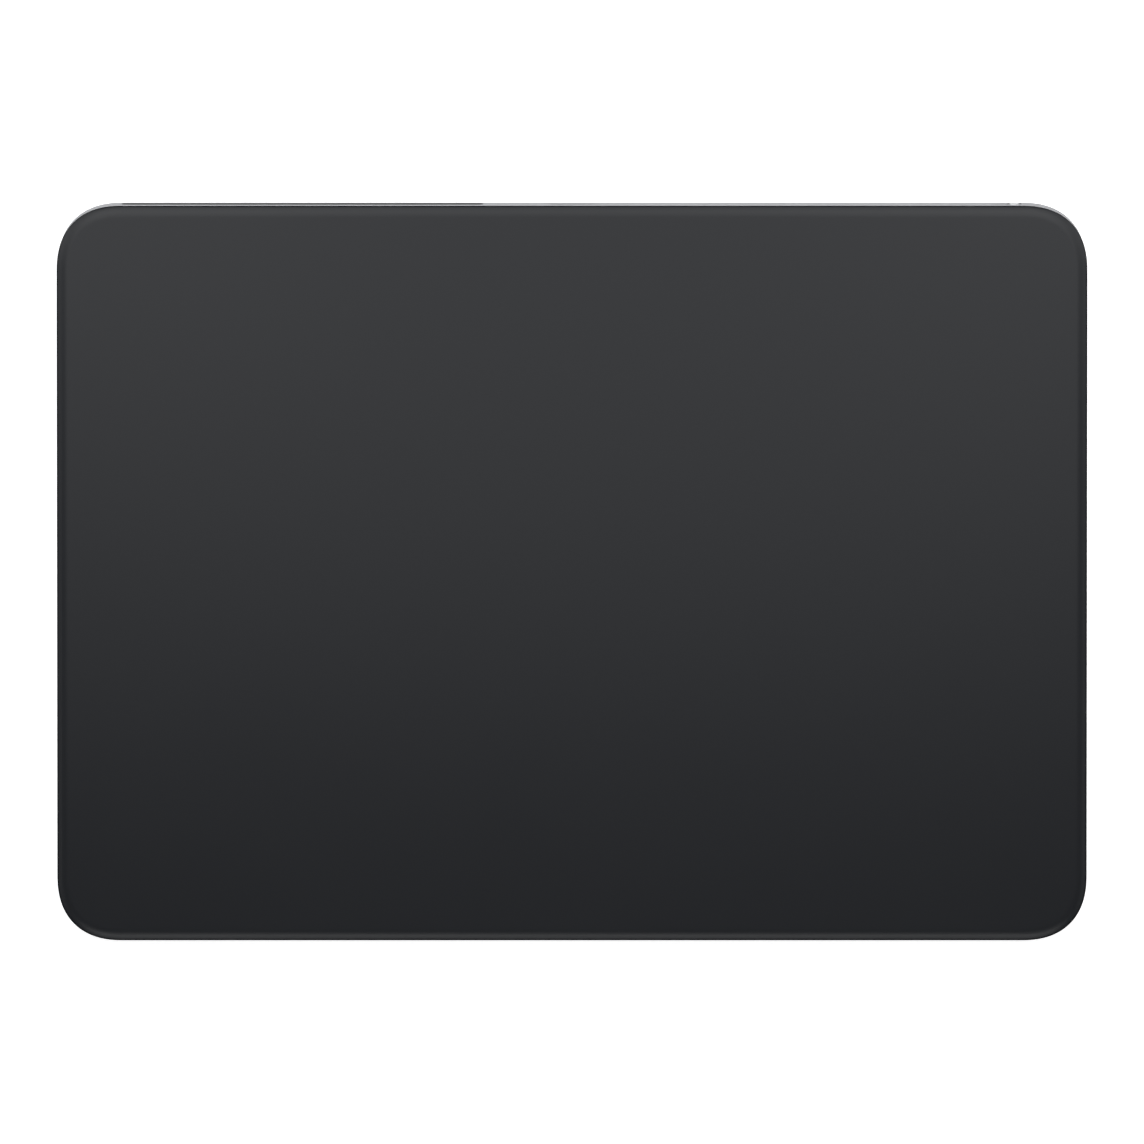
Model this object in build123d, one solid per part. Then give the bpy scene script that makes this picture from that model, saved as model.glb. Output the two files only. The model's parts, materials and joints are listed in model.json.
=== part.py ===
"""A wireless desk trackpad: a wedge-shaped aluminium tray under one sheet of matte black glass.

The glass carries the touch board and a steel stiffener and rests on four force sensors, one over
each foot. A haptic engine shifts it sideways. Battery cells, logic board, charging port, power
switch and antenna are fixed in the tray. Millimetres and degrees, +Z up, +Y to the rear; the
origin is on the desk, under the middle of the trackpad.
"""
import os
from math import acos, cos, radians, sin, sqrt

from build123d import *

# Whole trackpad
WIDTH = 160.0
DEPTH = 114.4  # along the slope of the glass
GLASS_RISE = 6.087  # how much higher the glass stands at the rear than at the front
FRONT_BAY = 1.4  # free height under the touch stack at the front edge
CORNER_RADIUS = 8.5
CORNER_EASE_RADIUS = 22.0  # wide arc that eases each side into its corner
CORNER_EASE_ANGLE = 7.0

# Travel of the moving pieces
PRESS_TRAVEL = 0.2
HAPTIC_TRAVEL = 0.15
SWITCH_TRAVEL = 2.2

# Glass and what is bonded under it
GLASS_THICKNESS = 1.0
GLASS_EDGE_RADIUS = 3.0
GLASS_EDGE_DROP = 0.6
GLASS_ARRIS = 0.08
GLUE_THICKNESS = 0.1
TOUCH_BOARD_THICKNESS = 0.5
STIFFENER_THICKNESS = 0.4
STACK_SIDE_CLEARANCE = 0.45
STACK_CORNER_STEP = 0.6  # each layer of the stack stops this much short of the one above
STIFFENER_WINDOW_WIDTH = 15.0
STIFFENER_WINDOW_DEPTH = 12.0
STIFFENER_WINDOW_CORNER = 2.0
STIFFENER_WEB = 5.0  # metal left between two windows
STIFFENER_ROW = 6  # windows in the row before the engine

# Enclosure
BODY_INSET = 0.05  # how far the wall stands back from the glass
WALL = 1.6
FLOOR = 0.9
RIM_CLEARANCE = 0.15
RIM_CHAMFER = 0.15
BOTTOM_CHAMFER = 0.6
BOSS_RADIUS = 1.4
CUT_OVERRUN = 1.0

# Feet
FOOT_RADIUS = 5.0
FOOT_HEIGHT = 0.6
FOOT_RECESS = 0.35
FOOT_EDGE = 0.2
FOOT_CLEARANCE = 0.1
FOOT_SIDE_INSET = 14.0
FOOT_END_INSET = 14.0

# Screws
SCREW_RADIUS = 0.5
SCREW_BITE = 0.8  # how far the thread reaches into a boss
SCREW_TIP_GAP = 0.1
SCREW_HEAD_RADIUS = 1.0
SCREW_HEAD_HEIGHT = 0.4
SCREW_CLEARANCE = 0.05
SMALL_SIDES = 8  # small round pieces are drawn with this many flat sides

# Force sensors
SENSOR_SHEET = 0.4
SENSOR_PAD_THICKNESS = 0.8
SENSOR_PAD_RADIUS = 2.2
SENSOR_MOUNT_LENGTH = 22.0
SENSOR_MOUNT_DEPTH = 11.0
SENSOR_MOUNT_CORNER = 1.5
SENSOR_WALL_GAP = 1.35
SENSOR_SCREW_EDGE = 2.4  # from a screw's centre to the end of the mount
SENSOR_WINDOW_DEPTH = 7.0
SENSOR_BEAM_DEPTH = 5.2
SENSOR_BEAM_TIP = 1.0  # beam left past the edge of its pad
GAUGE_LENGTH = 3.0
GAUGE_DEPTH = 2.4
GAUGE_THICKNESS = 0.12

# Haptic engine
TOOTH_COUNT = 3
TOOTH_PITCH = 11.0
TOOTH_LENGTH = 9.0
TOOTH_DEPTH = 5.0
BACK_IRON = 4.0
WINDING = 0.35  # thickness of a coil over and under its tooth
WINDING_SIDE = 1.6  # thickness of a coil beside its tooth
COIL_END_GAP = 0.5
COIL_CORNER = 0.8
COIL_SLACK = 0.03
COIL_HEADROOM = 0.25
AIR_GAP = 0.35
BAR_WIDTH = 4.0
BAR_CLEARANCE = 0.72  # left between the bar and the engine's bed when the plate is pressed down
ENGINE_SHEET = 0.4
ENGINE_SHEET_GAP = 0.05
ENGINE_EAR = 4.5
ENGINE_SHEET_MARGIN = 1.25
ENGINE_FLOOR_GAP = 0.15

# Battery
BATTERY_HEADROOM = 0.6
BATTERY_TAPE = 0.15
BATTERY_SIDE_GAP = 2.0
BATTERY_LANE = 5.5  # free lane between a cell and the side wall
BATTERY_SEAL = 2.0  # sealed edge of the pouch
BATTERY_SEAL_THICKNESS = 0.5
BATTERY_EDGE = 0.6
BATTERY_CORNER = 2.5
TAPE_INSET = 4.0
CELL_BOARD_WIDTH = 14.0
CELL_BOARD_DEPTH = 3.0
CELL_BOARD_THICKNESS = 0.8

# Logic board
BOARD_THICKNESS = 0.8
BOARD_RISE = 2.0
BOARD_GAP = 2.0  # free gap from the board to the pieces around it
BOARD_CORNER = 1.5
BOARD_SCREW_EDGE = 2.2
WING_DEPTH = 12.5
SHIELD_WIDTH = 11.0
SHIELD_DEPTH = 6.0
SHIELD_HEIGHT = 1.4
SHIELD_CORNER = 0.8
SHIELD_SHEET = 0.15
CHIP_SIZE = 6.5
CHIP_HEIGHT = 0.9
MEMORY_WIDTH = 5.0
MEMORY_DEPTH = 4.0
SOCKET_WIDTH = 7.0
SOCKET_DEPTH = 2.4
SOCKET_HEIGHT = 0.8
PART_SPACING = 1.6

# Charging port
PORT_WIDTH = 8.34
PORT_HEIGHT = 2.56
PORT_MOUTH_CLEARANCE = 0.06
PORT_MOUTH_CHAMFER = 0.2
PORT_LIP = 0.7  # wall left in front of the shell
PORT_SHELL_SHEET = 0.3
PORT_SHELL_LENGTH = 7.0
PORT_POCKET_CLEARANCE = 0.1
PORT_BASE_DEPTH = 1.6
PORT_TONGUE_WIDTH = 6.7
PORT_TONGUE_THICKNESS = 0.7
PORT_TONGUE_RECESS = 0.9
PORT_CONTACTS = 12
PORT_CONTACT_PITCH = 0.5
PORT_CONTACT_WIDTH = 0.26
PORT_CONTACT_LENGTH = 3.2
PORT_CONTACT_THICKNESS = 0.05
PORT_BOARD_WIDTH = 18.0
PORT_BOARD_GAP = 0.2
PORT_BOARD_THICKNESS = 0.6
PORT_SCREW_EDGE = 1.8

# Power switch
CORNER_OVERRUN = 0.15  # how far the slot and the window run into the eased corners
SLOT_LENGTH = 4.6
SLOT_HEIGHT = 1.7
KNOB_CLEARANCE = 0.1
KNOB_PROUD = 0.15
KNOB_DISH_RADIUS = 2.0
KNOB_DISH = 0.12
SWITCH_WALL = 1.0  # wall left at the slot
SLIDER_THICKNESS = 0.5
SLIDER_COVER = 0.4  # slider left past each end of the slot
SLIDER_HEIGHT = 2.8
SLIDER_CLEARANCE = 0.05
POCKET_MARGIN = 0.3
FORK_REACH = 2.2
FORK_PRONG = 0.7
FORK_HEIGHT = 1.0
RETAINER_SHEET = 0.4
RETAINER_TAB = 3.4
SWITCH_BODY_LENGTH = 7.0
SWITCH_BODY_DEPTH = 2.4
SWITCH_BODY_HEIGHT = 1.4
SWITCH_BODY_GAP = 0.3
ACTUATOR_WIDTH = 1.2
ACTUATOR_HEIGHT = 0.6
ACTUATOR_BURIED = 0.9
SWITCH_BOARD_THICKNESS = 0.6
SWITCH_BOARD_DEPTH = 5.6
SWITCH_BOARD_TAIL = 3.0  # where the flexible circuit lands
SWITCH_BOARD_CORNER = 0.6
SWITCH_SCREW_EDGE = 1.6

# Antenna
ANTENNA_PORT_GAP = 9.7  # wall left between the window and the port
ANTENNA_WINDOW_HEIGHT = 5.2
ANTENNA_WINDOW_SILL = 0.6
ANTENNA_WINDOW_CORNER = 1.2
ANTENNA_WINDOW_CLEARANCE = 0.03
ANTENNA_FLANGE = 1.0
ANTENNA_FLANGE_THICKNESS = 0.6
ANTENNA_BOARD_THICKNESS = 0.4
ANTENNA_BOARD_INSET = 0.6
CABLE_RADIUS = 0.4
CABLE_BEND = 5.0
CABLE_RUN = 18.0  # how far left of the shield the cable turns to the antenna

# Flexible circuits
FLEX_THICKNESS = 0.12
FLEX_WIDTH = 6.0
SWITCH_FLEX_WIDTH = 2.4
SWITCH_FLEX_SPAN = 2.7  # bare flex left between the two boards, past their gap
FLEX_BEND = 0.5
FLEX_LAP = 1.6
FLEX_EXIT = 0.5  # straight piece past a board's edge
TOUCH_FLEX_LOOP = 3.0
TOUCH_FLEX_ROUNDING = 0.4  # bend radius as a share of the loop's height

# Heights in the sloping frame, whose plane is the top of the glass
GLASS_UNDERSIDE = -GLASS_THICKNESS
BOARD_TOP = GLASS_UNDERSIDE - GLUE_THICKNESS
BOARD_UNDERSIDE = BOARD_TOP - TOUCH_BOARD_THICKNESS
STACK_UNDERSIDE = BOARD_UNDERSIDE - STIFFENER_THICKNESS
RIM = GLASS_UNDERSIDE - PRESS_TRAVEL - RIM_CLEARANCE
SENSOR_TOP = STACK_UNDERSIDE - SENSOR_PAD_THICKNESS
SENSOR_UNDERSIDE = SENSOR_TOP - SENSOR_SHEET

# The sloping frame, whose origin is in the middle of the top of the glass
SINE = GLASS_RISE / DEPTH
COSINE = sqrt(1 - SINE**2)
FLOOR_TOP = FOOT_HEIGHT + FLOOR
FRONT_HEIGHT = FLOOR_TOP + FRONT_BAY - STACK_UNDERSIDE
MIDDLE_HEIGHT = FRONT_HEIGHT + DEPTH / 2 * SINE


def drop_at(height, along):
    """Sloping-frame height of a point at this height over the desk."""
    return (height - MIDDLE_HEIGHT - along * SINE) / COSINE


REAR_FACE = DEPTH / 2 - BODY_INSET
WALL_FOOT = drop_at(FOOT_HEIGHT, REAR_FACE)
REAR_MIDDLE = (RIM + WALL_FOOT) / 2
FRONT_REACH = DEPTH / 2 * COSINE - GLASS_EDGE_DROP * SINE
REAR_REACH = REAR_FACE * COSINE - (WALL_FOOT + BOTTOM_CHAMFER) * SINE
MIDDLE_Y = (FRONT_REACH - REAR_REACH) / 2
SLOPE = Plane((0, MIDDLE_Y, MIDDLE_HEIGHT), x_dir=(1, 0, 0), z_dir=(0, -SINE, COSINE))


def level_y(along):
    """Distance behind the origin, on the level, of a place along the slope."""
    return MIDDLE_Y + along * COSINE


def leveled(along, height):
    """Distance behind the origin and height over the desk of a place in the sloping frame."""
    return level_y(along) - height * SINE, MIDDLE_HEIGHT + along * SINE + height * COSINE


def bay_at(along):
    """Free height under the touch stack, square to the glass."""
    return STACK_UNDERSIDE - drop_at(FLOOR_TOP, along)


# Plan of the inside, from the rear wall forwards
CORNER_REACH = CORNER_EASE_RADIUS - (CORNER_EASE_RADIUS - CORNER_RADIUS) * (
    cos(radians(CORNER_EASE_ANGLE)) - sin(radians(CORNER_EASE_ANGLE))
)
STRAIGHT_END = WIDTH / 2 - CORNER_REACH
INNER_REAR = REAR_FACE - WALL
INNER_SIDE = WIDTH / 2 - BODY_INSET - WALL
STACK_INSET = BODY_INSET + WALL + HAPTIC_TRAVEL + STACK_SIDE_CLEARANCE
PORT_BOARD_FRONT = REAR_FACE - PORT_LIP - PORT_SHELL_LENGTH - PORT_BOARD_GAP - FLEX_LAP
PORT_BOARD_REAR = INNER_REAR - PORT_BOARD_GAP
WING_REAR = PORT_BOARD_FRONT - BOARD_GAP
WING_FRONT = WING_REAR - WING_DEPTH
CORE_LENGTH = TOOTH_COUNT * TOOTH_PITCH
ENGINE_REAR = WING_FRONT - BOARD_GAP
ENGINE_FRONT = ENGINE_REAR - CORE_LENGTH - 2 * ENGINE_EAR
ENGINE_MIDDLE = (ENGINE_FRONT + ENGINE_REAR) / 2
SENSOR_X = WIDTH / 2 - FOOT_SIDE_INSET
SENSOR_Y = DEPTH / 2 - FOOT_END_INSET
MOUNT_OUTER = INNER_SIDE - SENSOR_WALL_GAP - SENSOR_X  # from a sensor's middle to its mount's outer end
MOUNT_INNER = SENSOR_MOUNT_LENGTH - MOUNT_OUTER
CORNERS = {
    "front_left": (-1, -1),
    "front_right": (1, -1),
    "rear_left": (-1, 1),
    "rear_right": (1, 1),
}

# Haptic engine heights, in the sloping frame
COIL_TOP = STACK_UNDERSIDE - PRESS_TRAVEL - COIL_HEADROOM
CORE_TOP = COIL_TOP - WINDING
ENGINE_UNDERSIDE = STACK_UNDERSIDE - bay_at(ENGINE_FRONT) + ENGINE_FLOOR_GAP
ENGINE_SHEET_TOP = ENGINE_UNDERSIDE + ENGINE_SHEET
COIL_BOTTOM = ENGINE_SHEET_TOP + ENGINE_SHEET_GAP
CORE_BOTTOM = COIL_BOTTOM + WINDING
ENGINE_WIDTH = BACK_IRON + TOOTH_LENGTH + HAPTIC_TRAVEL + AIR_GAP + BAR_WIDTH
CORE_LEFT = -ENGINE_WIDTH / 2
TOOTH_TIP = CORE_LEFT + BACK_IRON + TOOTH_LENGTH
BAR_LEFT = TOOTH_TIP + HAPTIC_TRAVEL + AIR_GAP
BAR_UNDERSIDE = ENGINE_SHEET_TOP + BAR_CLEARANCE + PRESS_TRAVEL

# Battery places, on the level
BATTERY_FRONT = level_y(ENGINE_FRONT)
BATTERY_REAR = level_y(ENGINE_REAR)
BATTERY_INNER = ENGINE_WIDTH / 2 + ENGINE_SHEET_MARGIN + BATTERY_SIDE_GAP
BATTERY_OUTER = INNER_SIDE - BATTERY_LANE
BATTERY_BOTTOM = FLOOR_TOP + BATTERY_TAPE
BATTERY_TOP = FLOOR_TOP + bay_at(ENGINE_FRONT) - BATTERY_HEADROOM
BATTERY_MIDDLE = (BATTERY_BOTTOM + BATTERY_TOP) / 2
CELL_BOARD_X = BATTERY_INNER + BATTERY_CORNER + CELL_BOARD_WIDTH / 2

# Switch places, in the sloping frame
SLOT_RIGHT = STRAIGHT_END + CORNER_OVERRUN
SLOT_LEFT = SLOT_RIGHT - SLOT_LENGTH
KNOB_WIDTH = SLOT_LENGTH - SWITCH_TRAVEL - 2 * KNOB_CLEARANCE
KNOB_HEIGHT = SLOT_HEIGHT - 2 * KNOB_CLEARANCE
KNOB_X = SLOT_RIGHT - KNOB_CLEARANCE - KNOB_WIDTH / 2
SLIDER_LEFT = SLOT_LEFT - SLIDER_COVER
SLIDER_RIGHT = SLOT_RIGHT + SWITCH_TRAVEL + SLIDER_COVER
SLIDER_REAR = REAR_FACE - SWITCH_WALL - SLIDER_CLEARANCE
SLIDER_FRONT = SLIDER_REAR - SLIDER_THICKNESS
RETAINER_REAR = SLIDER_FRONT - SLIDER_CLEARANCE
RETAINER_FRONT = RETAINER_REAR - RETAINER_SHEET
FORK_END = SLIDER_FRONT - FORK_REACH
SWITCH_BODY_REAR = FORK_END - SWITCH_BODY_GAP
SWITCH_BODY_FRONT = SWITCH_BODY_REAR - SWITCH_BODY_DEPTH
SWITCH_MIDDLE_X = KNOB_X - SWITCH_TRAVEL / 2
SWITCH_BOARD_TOP = REAR_MIDDLE - SWITCH_BODY_HEIGHT / 2
SWITCH_BOARD_REAR = RETAINER_FRONT - RETAINER_SHEET
SWITCH_BOARD_HALF = SWITCH_BODY_LENGTH / 2 + RETAINER_TAB
SWITCH_BOARD_LEFT = SWITCH_MIDDLE_X - SWITCH_BOARD_HALF - SWITCH_BOARD_TAIL
SWITCH_SCREW_Y = SWITCH_BOARD_REAR - SWITCH_BOARD_DEPTH / 2
SWITCH_SCREWS = [
    (SWITCH_MIDDLE_X + side * (SWITCH_BOARD_HALF - SWITCH_SCREW_EDGE), SWITCH_SCREW_Y)
    for side in (-1, 1)
]

# Logic board places, on the level
LOGIC_UNDERSIDE = FLOOR_TOP + BOARD_RISE
LOGIC_TOP = LOGIC_UNDERSIDE + BOARD_THICKNESS
LOGIC_LEFT = -(CELL_BOARD_X + SOCKET_WIDTH / 2 + BOARD_GAP)
LOGIC_RIGHT = min(SENSOR_X - MOUNT_INNER, SWITCH_BOARD_LEFT - SWITCH_FLEX_SPAN) - BOARD_GAP
LOGIC_FRONT = level_y(WING_FRONT)
LOGIC_STEP_X = PORT_BOARD_WIDTH / 2 + BOARD_GAP
LOGIC_STEP_Y = level_y(WING_REAR)
LOGIC_REAR = level_y(INNER_REAR) - BOARD_GAP
LOGIC_SCREWS = [
    (LOGIC_LEFT + BOARD_SCREW_EDGE, LOGIC_STEP_Y - BOARD_SCREW_EDGE),
    (LOGIC_RIGHT - BOARD_SCREW_EDGE, LOGIC_FRONT + BOARD_SCREW_EDGE),
    (LOGIC_STEP_X + BOARD_SCREW_EDGE, LOGIC_REAR - BOARD_SCREW_EDGE),
    (LOGIC_RIGHT - 2 * BOARD_SCREW_EDGE, LOGIC_REAR - BOARD_SCREW_EDGE),
]

# Places of the parts on the logic board and under the touch board
TOUCH_SOCKET_X = LOGIC_STEP_X + STIFFENER_WINDOW_WIDTH / 2
TOUCH_SOCKET_Y = WING_FRONT + STIFFENER_WINDOW_DEPTH / 2 + BOARD_GAP
BATTERY_SOCKET_Y = LOGIC_FRONT + PART_SPACING + SOCKET_DEPTH / 2
SHIELD_LEFT = LOGIC_LEFT + 2 * BOARD_SCREW_EDGE
SHIELD_REAR = LOGIC_STEP_Y - PART_SPACING

# Port places, in the sloping frame
PORT_SHELL_REAR = REAR_FACE - PORT_LIP
PORT_SHELL_FRONT = PORT_SHELL_REAR - PORT_SHELL_LENGTH
PORT_BOARD_TOP = REAR_MIDDLE - PORT_HEIGHT / 2 - PORT_SHELL_SHEET
PORT_SCREWS = [
    (side * (PORT_BOARD_WIDTH / 2 - PORT_SCREW_EDGE), (PORT_BOARD_FRONT + PORT_BOARD_REAR) / 2)
    for side in (-1, 1)
]


# Shapes that several pieces share


def outline(inset):
    """Plan of the trackpad, drawn this far inside the edge of the glass."""
    ease, main = CORNER_EASE_RADIUS, CORNER_RADIUS
    turn = CORNER_EASE_ANGLE
    inner = ease - (ease - main) * cos(radians(turn))
    half_x, half_y = WIDTH / 2, DEPTH / 2
    arcs = []
    for quarter, (right, rear) in enumerate([(1, 1), (-1, 1), (-1, -1), (1, -1)]):
        beside = (right * (half_x - ease), rear * (half_y - CORNER_REACH))
        beyond = (right * (half_x - CORNER_REACH), rear * (half_y - ease))
        first, last = (beside, beyond) if right == rear else (beyond, beside)
        middle = (right * (half_x - inner), rear * (half_y - inner))
        start = 90 * quarter
        arcs += [
            CenterArc(first, ease - inset, start, turn),
            CenterArc(middle, main - inset, start + turn, 90 - 2 * turn),
            CenterArc(last, ease - inset, start + 90 - turn, turn),
        ]
    sides = [Line(arcs[i - 1] @ 1, arcs[i] @ 0) for i in range(0, len(arcs), 3)]
    return make_face(arcs + sides)


def slab(sketch, low, high):
    """A sketch in plan, raised between two heights."""
    return extrude(Pos(0, 0, low) * sketch, high - low)


def panel(sketch, near, far):
    """A sketch seen from the front, thickened between two places towards the rear."""
    seen = Plane((0, far, 0), x_dir=(1, 0, 0), z_dir=(0, -1, 0))
    return extrude(seen * sketch, far - near)


def plate(left, right, front, rear, corner):
    """Plan of a rectangle between these sides, with its corners cut off."""
    whole = Pos((left + right) / 2, (front + rear) / 2) * Rectangle(right - left, rear - front)
    return chamfer(whole.vertices(), corner)


def rod(x, y, radius, low, high):
    """An upright round bar."""
    return Pos(x, y, low) * Cylinder(radius, high - low, align=(Align.CENTER, Align.CENTER, Align.MIN))


def pin(x, y, radius, low, high):
    """A small upright round bar, drawn with flat sides."""
    return slab(Pos(x, y) * RegularPolygon(radius, SMALL_SIDES), low, high)


def ribbon(points, width, bend):
    """A flexible circuit: a folded line seen from the side, thickened, then widened about the middle."""
    path = FilletPolyline(*points, radius=bend)
    side = trace(path, line_width=FLEX_THICKNESS)
    return extrude(Plane.YZ * side, width / 2, both=True)


def on_slope(shape):
    """Carries a piece from the sloping frame to the desk's."""
    return SLOPE.location * shape


def above(height):
    """All the space over this height above the desk."""
    reach = WIDTH + DEPTH
    return Pos(0, 0, height) * Box(reach, reach, reach, align=(Align.CENTER, Align.CENTER, Align.MIN))


def screw(x, y, seat, grip):
    """A small cap screw whose head clamps a sheet of this thickness to its boss."""
    head = pin(x, y, SCREW_HEAD_RADIUS, seat, seat + SCREW_HEAD_HEIGHT)
    return head + pin(x, y, SCREW_RADIUS, seat - grip - SCREW_BITE, seat)


def screw_hole(x, y, low, high):
    """The hole that a screw passes through, with its running clearance."""
    return pin(x, y, SCREW_RADIUS + SCREW_CLEARANCE, low, high)


# Touch stack


def cover_glass():
    """Sheet of glass whose top edge rolls off through part of a wide arc."""
    roll = acos(1 - GLASS_EDGE_DROP / GLASS_EDGE_RADIUS)
    overhang = GLASS_EDGE_RADIUS * (1 - sin(roll))
    crown = slab(outline(-overhang), -2 * GLASS_EDGE_RADIUS, 0)
    crown = fillet(crown.faces().sort_by(Axis.Z)[-1].edges(), GLASS_EDGE_RADIUS)
    glass = slab(outline(0), GLASS_UNDERSIDE, 0) & crown
    arris = glass.faces().sort_by(Axis.Z)[0].edges()
    return on_slope(chamfer(arris, GLASS_ARRIS))


def glass_adhesive():
    """Sheet of glue between the glass and the touch board."""
    return on_slope(slab(outline(STACK_INSET), BOARD_TOP, GLASS_UNDERSIDE))


def touch_board():
    """Printed board that senses the fingers through the glass."""
    return on_slope(slab(outline(STACK_INSET), BOARD_UNDERSIDE, BOARD_TOP))


def stiffener_window_places():
    """Middles of the openings in the stiffener: two over the logic board, a row before the engine."""
    places = [(side * TOUCH_SOCKET_X, TOUCH_SOCKET_Y) for side in (-1, 1)]
    front = ENGINE_FRONT - BOARD_GAP - STIFFENER_WINDOW_DEPTH / 2
    step = STIFFENER_WINDOW_WIDTH + STIFFENER_WEB
    return places + [((i - (STIFFENER_ROW - 1) / 2) * step, front) for i in range(STIFFENER_ROW)]


def stiffener_plate():
    """Steel plate that keeps the glass flat between its four supports."""
    sheet = outline(STACK_INSET + STACK_CORNER_STEP)
    window = Rectangle(STIFFENER_WINDOW_WIDTH, STIFFENER_WINDOW_DEPTH)
    window = chamfer(window.vertices(), STIFFENER_WINDOW_CORNER)
    sheet = sheet - [Pos(x, y) * window for x, y in stiffener_window_places()]
    return on_slope(slab(sheet, STACK_UNDERSIDE, BOARD_UNDERSIDE))


def touch_controller():
    """Shielded chip under the touch board, in the left rear window of the stiffener."""
    can = Rectangle(CHIP_SIZE, CHIP_SIZE)
    can = Pos(-TOUCH_SOCKET_X, TOUCH_SOCKET_Y) * chamfer(can.vertices(), SHIELD_CORNER)
    return on_slope(slab(can, BOARD_UNDERSIDE - CHIP_HEIGHT, BOARD_UNDERSIDE))


def touch_socket():
    """Connector under the touch board, in the right rear window of the stiffener."""
    body = Pos(TOUCH_SOCKET_X, TOUCH_SOCKET_Y) * Rectangle(SOCKET_WIDTH, SOCKET_DEPTH)
    return on_slope(slab(body, BOARD_UNDERSIDE - SOCKET_HEIGHT, BOARD_UNDERSIDE))


def attraction_bar():
    """Steel bar under the stiffener that the coils pull sideways."""
    bar = plate(
        BAR_LEFT,
        BAR_LEFT + BAR_WIDTH,
        ENGINE_MIDDLE - CORE_LENGTH / 2,
        ENGINE_MIDDLE + CORE_LENGTH / 2,
        SHIELD_CORNER,
    )
    return on_slope(slab(bar, BAR_UNDERSIDE, STACK_UNDERSIDE))


# Enclosure


def foot_places():
    """Centre of each foot on the desk, by corner."""
    return {name: (side * SENSOR_X, level_y(end * SENSOR_Y)) for name, (side, end) in CORNERS.items()}


def sensor_screw_places(side, end):
    """The two screws of one force sensor, in the sloping frame."""
    reaches = (SENSOR_SCREW_EDGE - MOUNT_INNER, MOUNT_OUTER - SENSOR_SCREW_EDGE)
    return [(side * (SENSOR_X + reach), end * SENSOR_Y) for reach in reaches]


def engine_screw_places():
    """The four screws of the haptic engine's bracket, in the sloping frame."""
    reach_x = ENGINE_WIDTH / 2 + ENGINE_SHEET_MARGIN - SENSOR_SCREW_EDGE
    reach_y = CORE_LENGTH / 2 + ENGINE_EAR / 2
    return [(i * reach_x, ENGINE_MIDDLE + j * reach_y) for i in (-1, 1) for j in (-1, 1)]


def boss(x, y, top, level):
    """A screw boss up from the floor, upright or square to the glass, with its blind hole."""
    post = pin(x, y, BOSS_RADIUS, 0 if level else WALL_FOOT, top)
    hole = screw_hole(x, y, top - SCREW_BITE - SCREW_TIP_GAP, top + CUT_OVERRUN)
    if not level:
        post, hole = on_slope(post), on_slope(hole)
    return post & above(FLOOR_TOP - FLOOR / 2), hole


def bosses():
    """Every screw boss in the tray, each with its hole."""
    found = []
    for side, end in CORNERS.values():
        found += [boss(x, y, SENSOR_UNDERSIDE, False) for x, y in sensor_screw_places(side, end)]
    found += [boss(x, y, ENGINE_UNDERSIDE, False) for x, y in engine_screw_places()]
    found += [boss(x, y, PORT_BOARD_TOP - PORT_BOARD_THICKNESS, False) for x, y in PORT_SCREWS]
    found += [boss(x, y, SWITCH_BOARD_TOP - SWITCH_BOARD_THICKNESS, False) for x, y in SWITCH_SCREWS]
    found += [boss(x, y, LOGIC_UNDERSIDE, True) for x, y in LOGIC_SCREWS]
    return found


def antenna_window_shape(grow):
    """The antenna window seen from behind, larger all round by this much."""
    left = -STRAIGHT_END - CORNER_OVERRUN
    right = -PORT_WIDTH / 2 - ANTENNA_PORT_GAP
    foot = WALL_FOOT + BOTTOM_CHAMFER + ANTENNA_WINDOW_SILL
    middle = Pos((left + right) / 2, foot + ANTENNA_WINDOW_HEIGHT / 2)
    return middle * RectangleRounded(
        right - left + 2 * grow, ANTENNA_WINDOW_HEIGHT + 2 * grow, ANTENNA_WINDOW_CORNER + grow
    )


def port_shape(grow):
    """The charging port seen from behind, larger all round by this much."""
    return Pos(0, REAR_MIDDLE) * SlotOverall(PORT_WIDTH + 2 * grow, PORT_HEIGHT + 2 * grow)


def rear_cuts():
    """What is cut from the rear wall for the port, the switch and the antenna."""
    past = REAR_FACE + CUT_OVERRUN
    mouth = panel(port_shape(PORT_MOUTH_CLEARANCE), INNER_REAR - CUT_OVERRUN, past)
    flare = loft(
        [
            Plane((0, y, 0), x_dir=(1, 0, 0), z_dir=(0, -1, 0)) * port_shape(PORT_MOUTH_CLEARANCE + grow)
            for y, grow in ((REAR_FACE - PORT_MOUTH_CHAMFER, 0), (REAR_FACE, PORT_MOUTH_CHAMFER))
        ]
    )
    seat = panel(
        port_shape(PORT_SHELL_SHEET + PORT_POCKET_CLEARANCE), INNER_REAR - CUT_OVERRUN, PORT_SHELL_REAR
    )
    slot = Pos((SLOT_LEFT + SLOT_RIGHT) / 2, REAR_MIDDLE) * SlotOverall(SLOT_LENGTH, SLOT_HEIGHT)
    slot = panel(slot, INNER_REAR - CUT_OVERRUN, past)
    pocket_left = SLIDER_LEFT - SWITCH_TRAVEL - POCKET_MARGIN
    pocket_right = SLIDER_RIGHT + POCKET_MARGIN
    pocket = Pos((pocket_left + pocket_right) / 2, REAR_MIDDLE) * Rectangle(
        pocket_right - pocket_left, SLIDER_HEIGHT + 2 * POCKET_MARGIN
    )
    pocket = panel(pocket, SWITCH_BOARD_REAR, REAR_FACE - SWITCH_WALL)
    window = panel(antenna_window_shape(ANTENNA_WINDOW_CLEARANCE), INNER_REAR - CUT_OVERRUN, past)
    return [mouth, flare, seat, slot, pocket, window]


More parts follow.
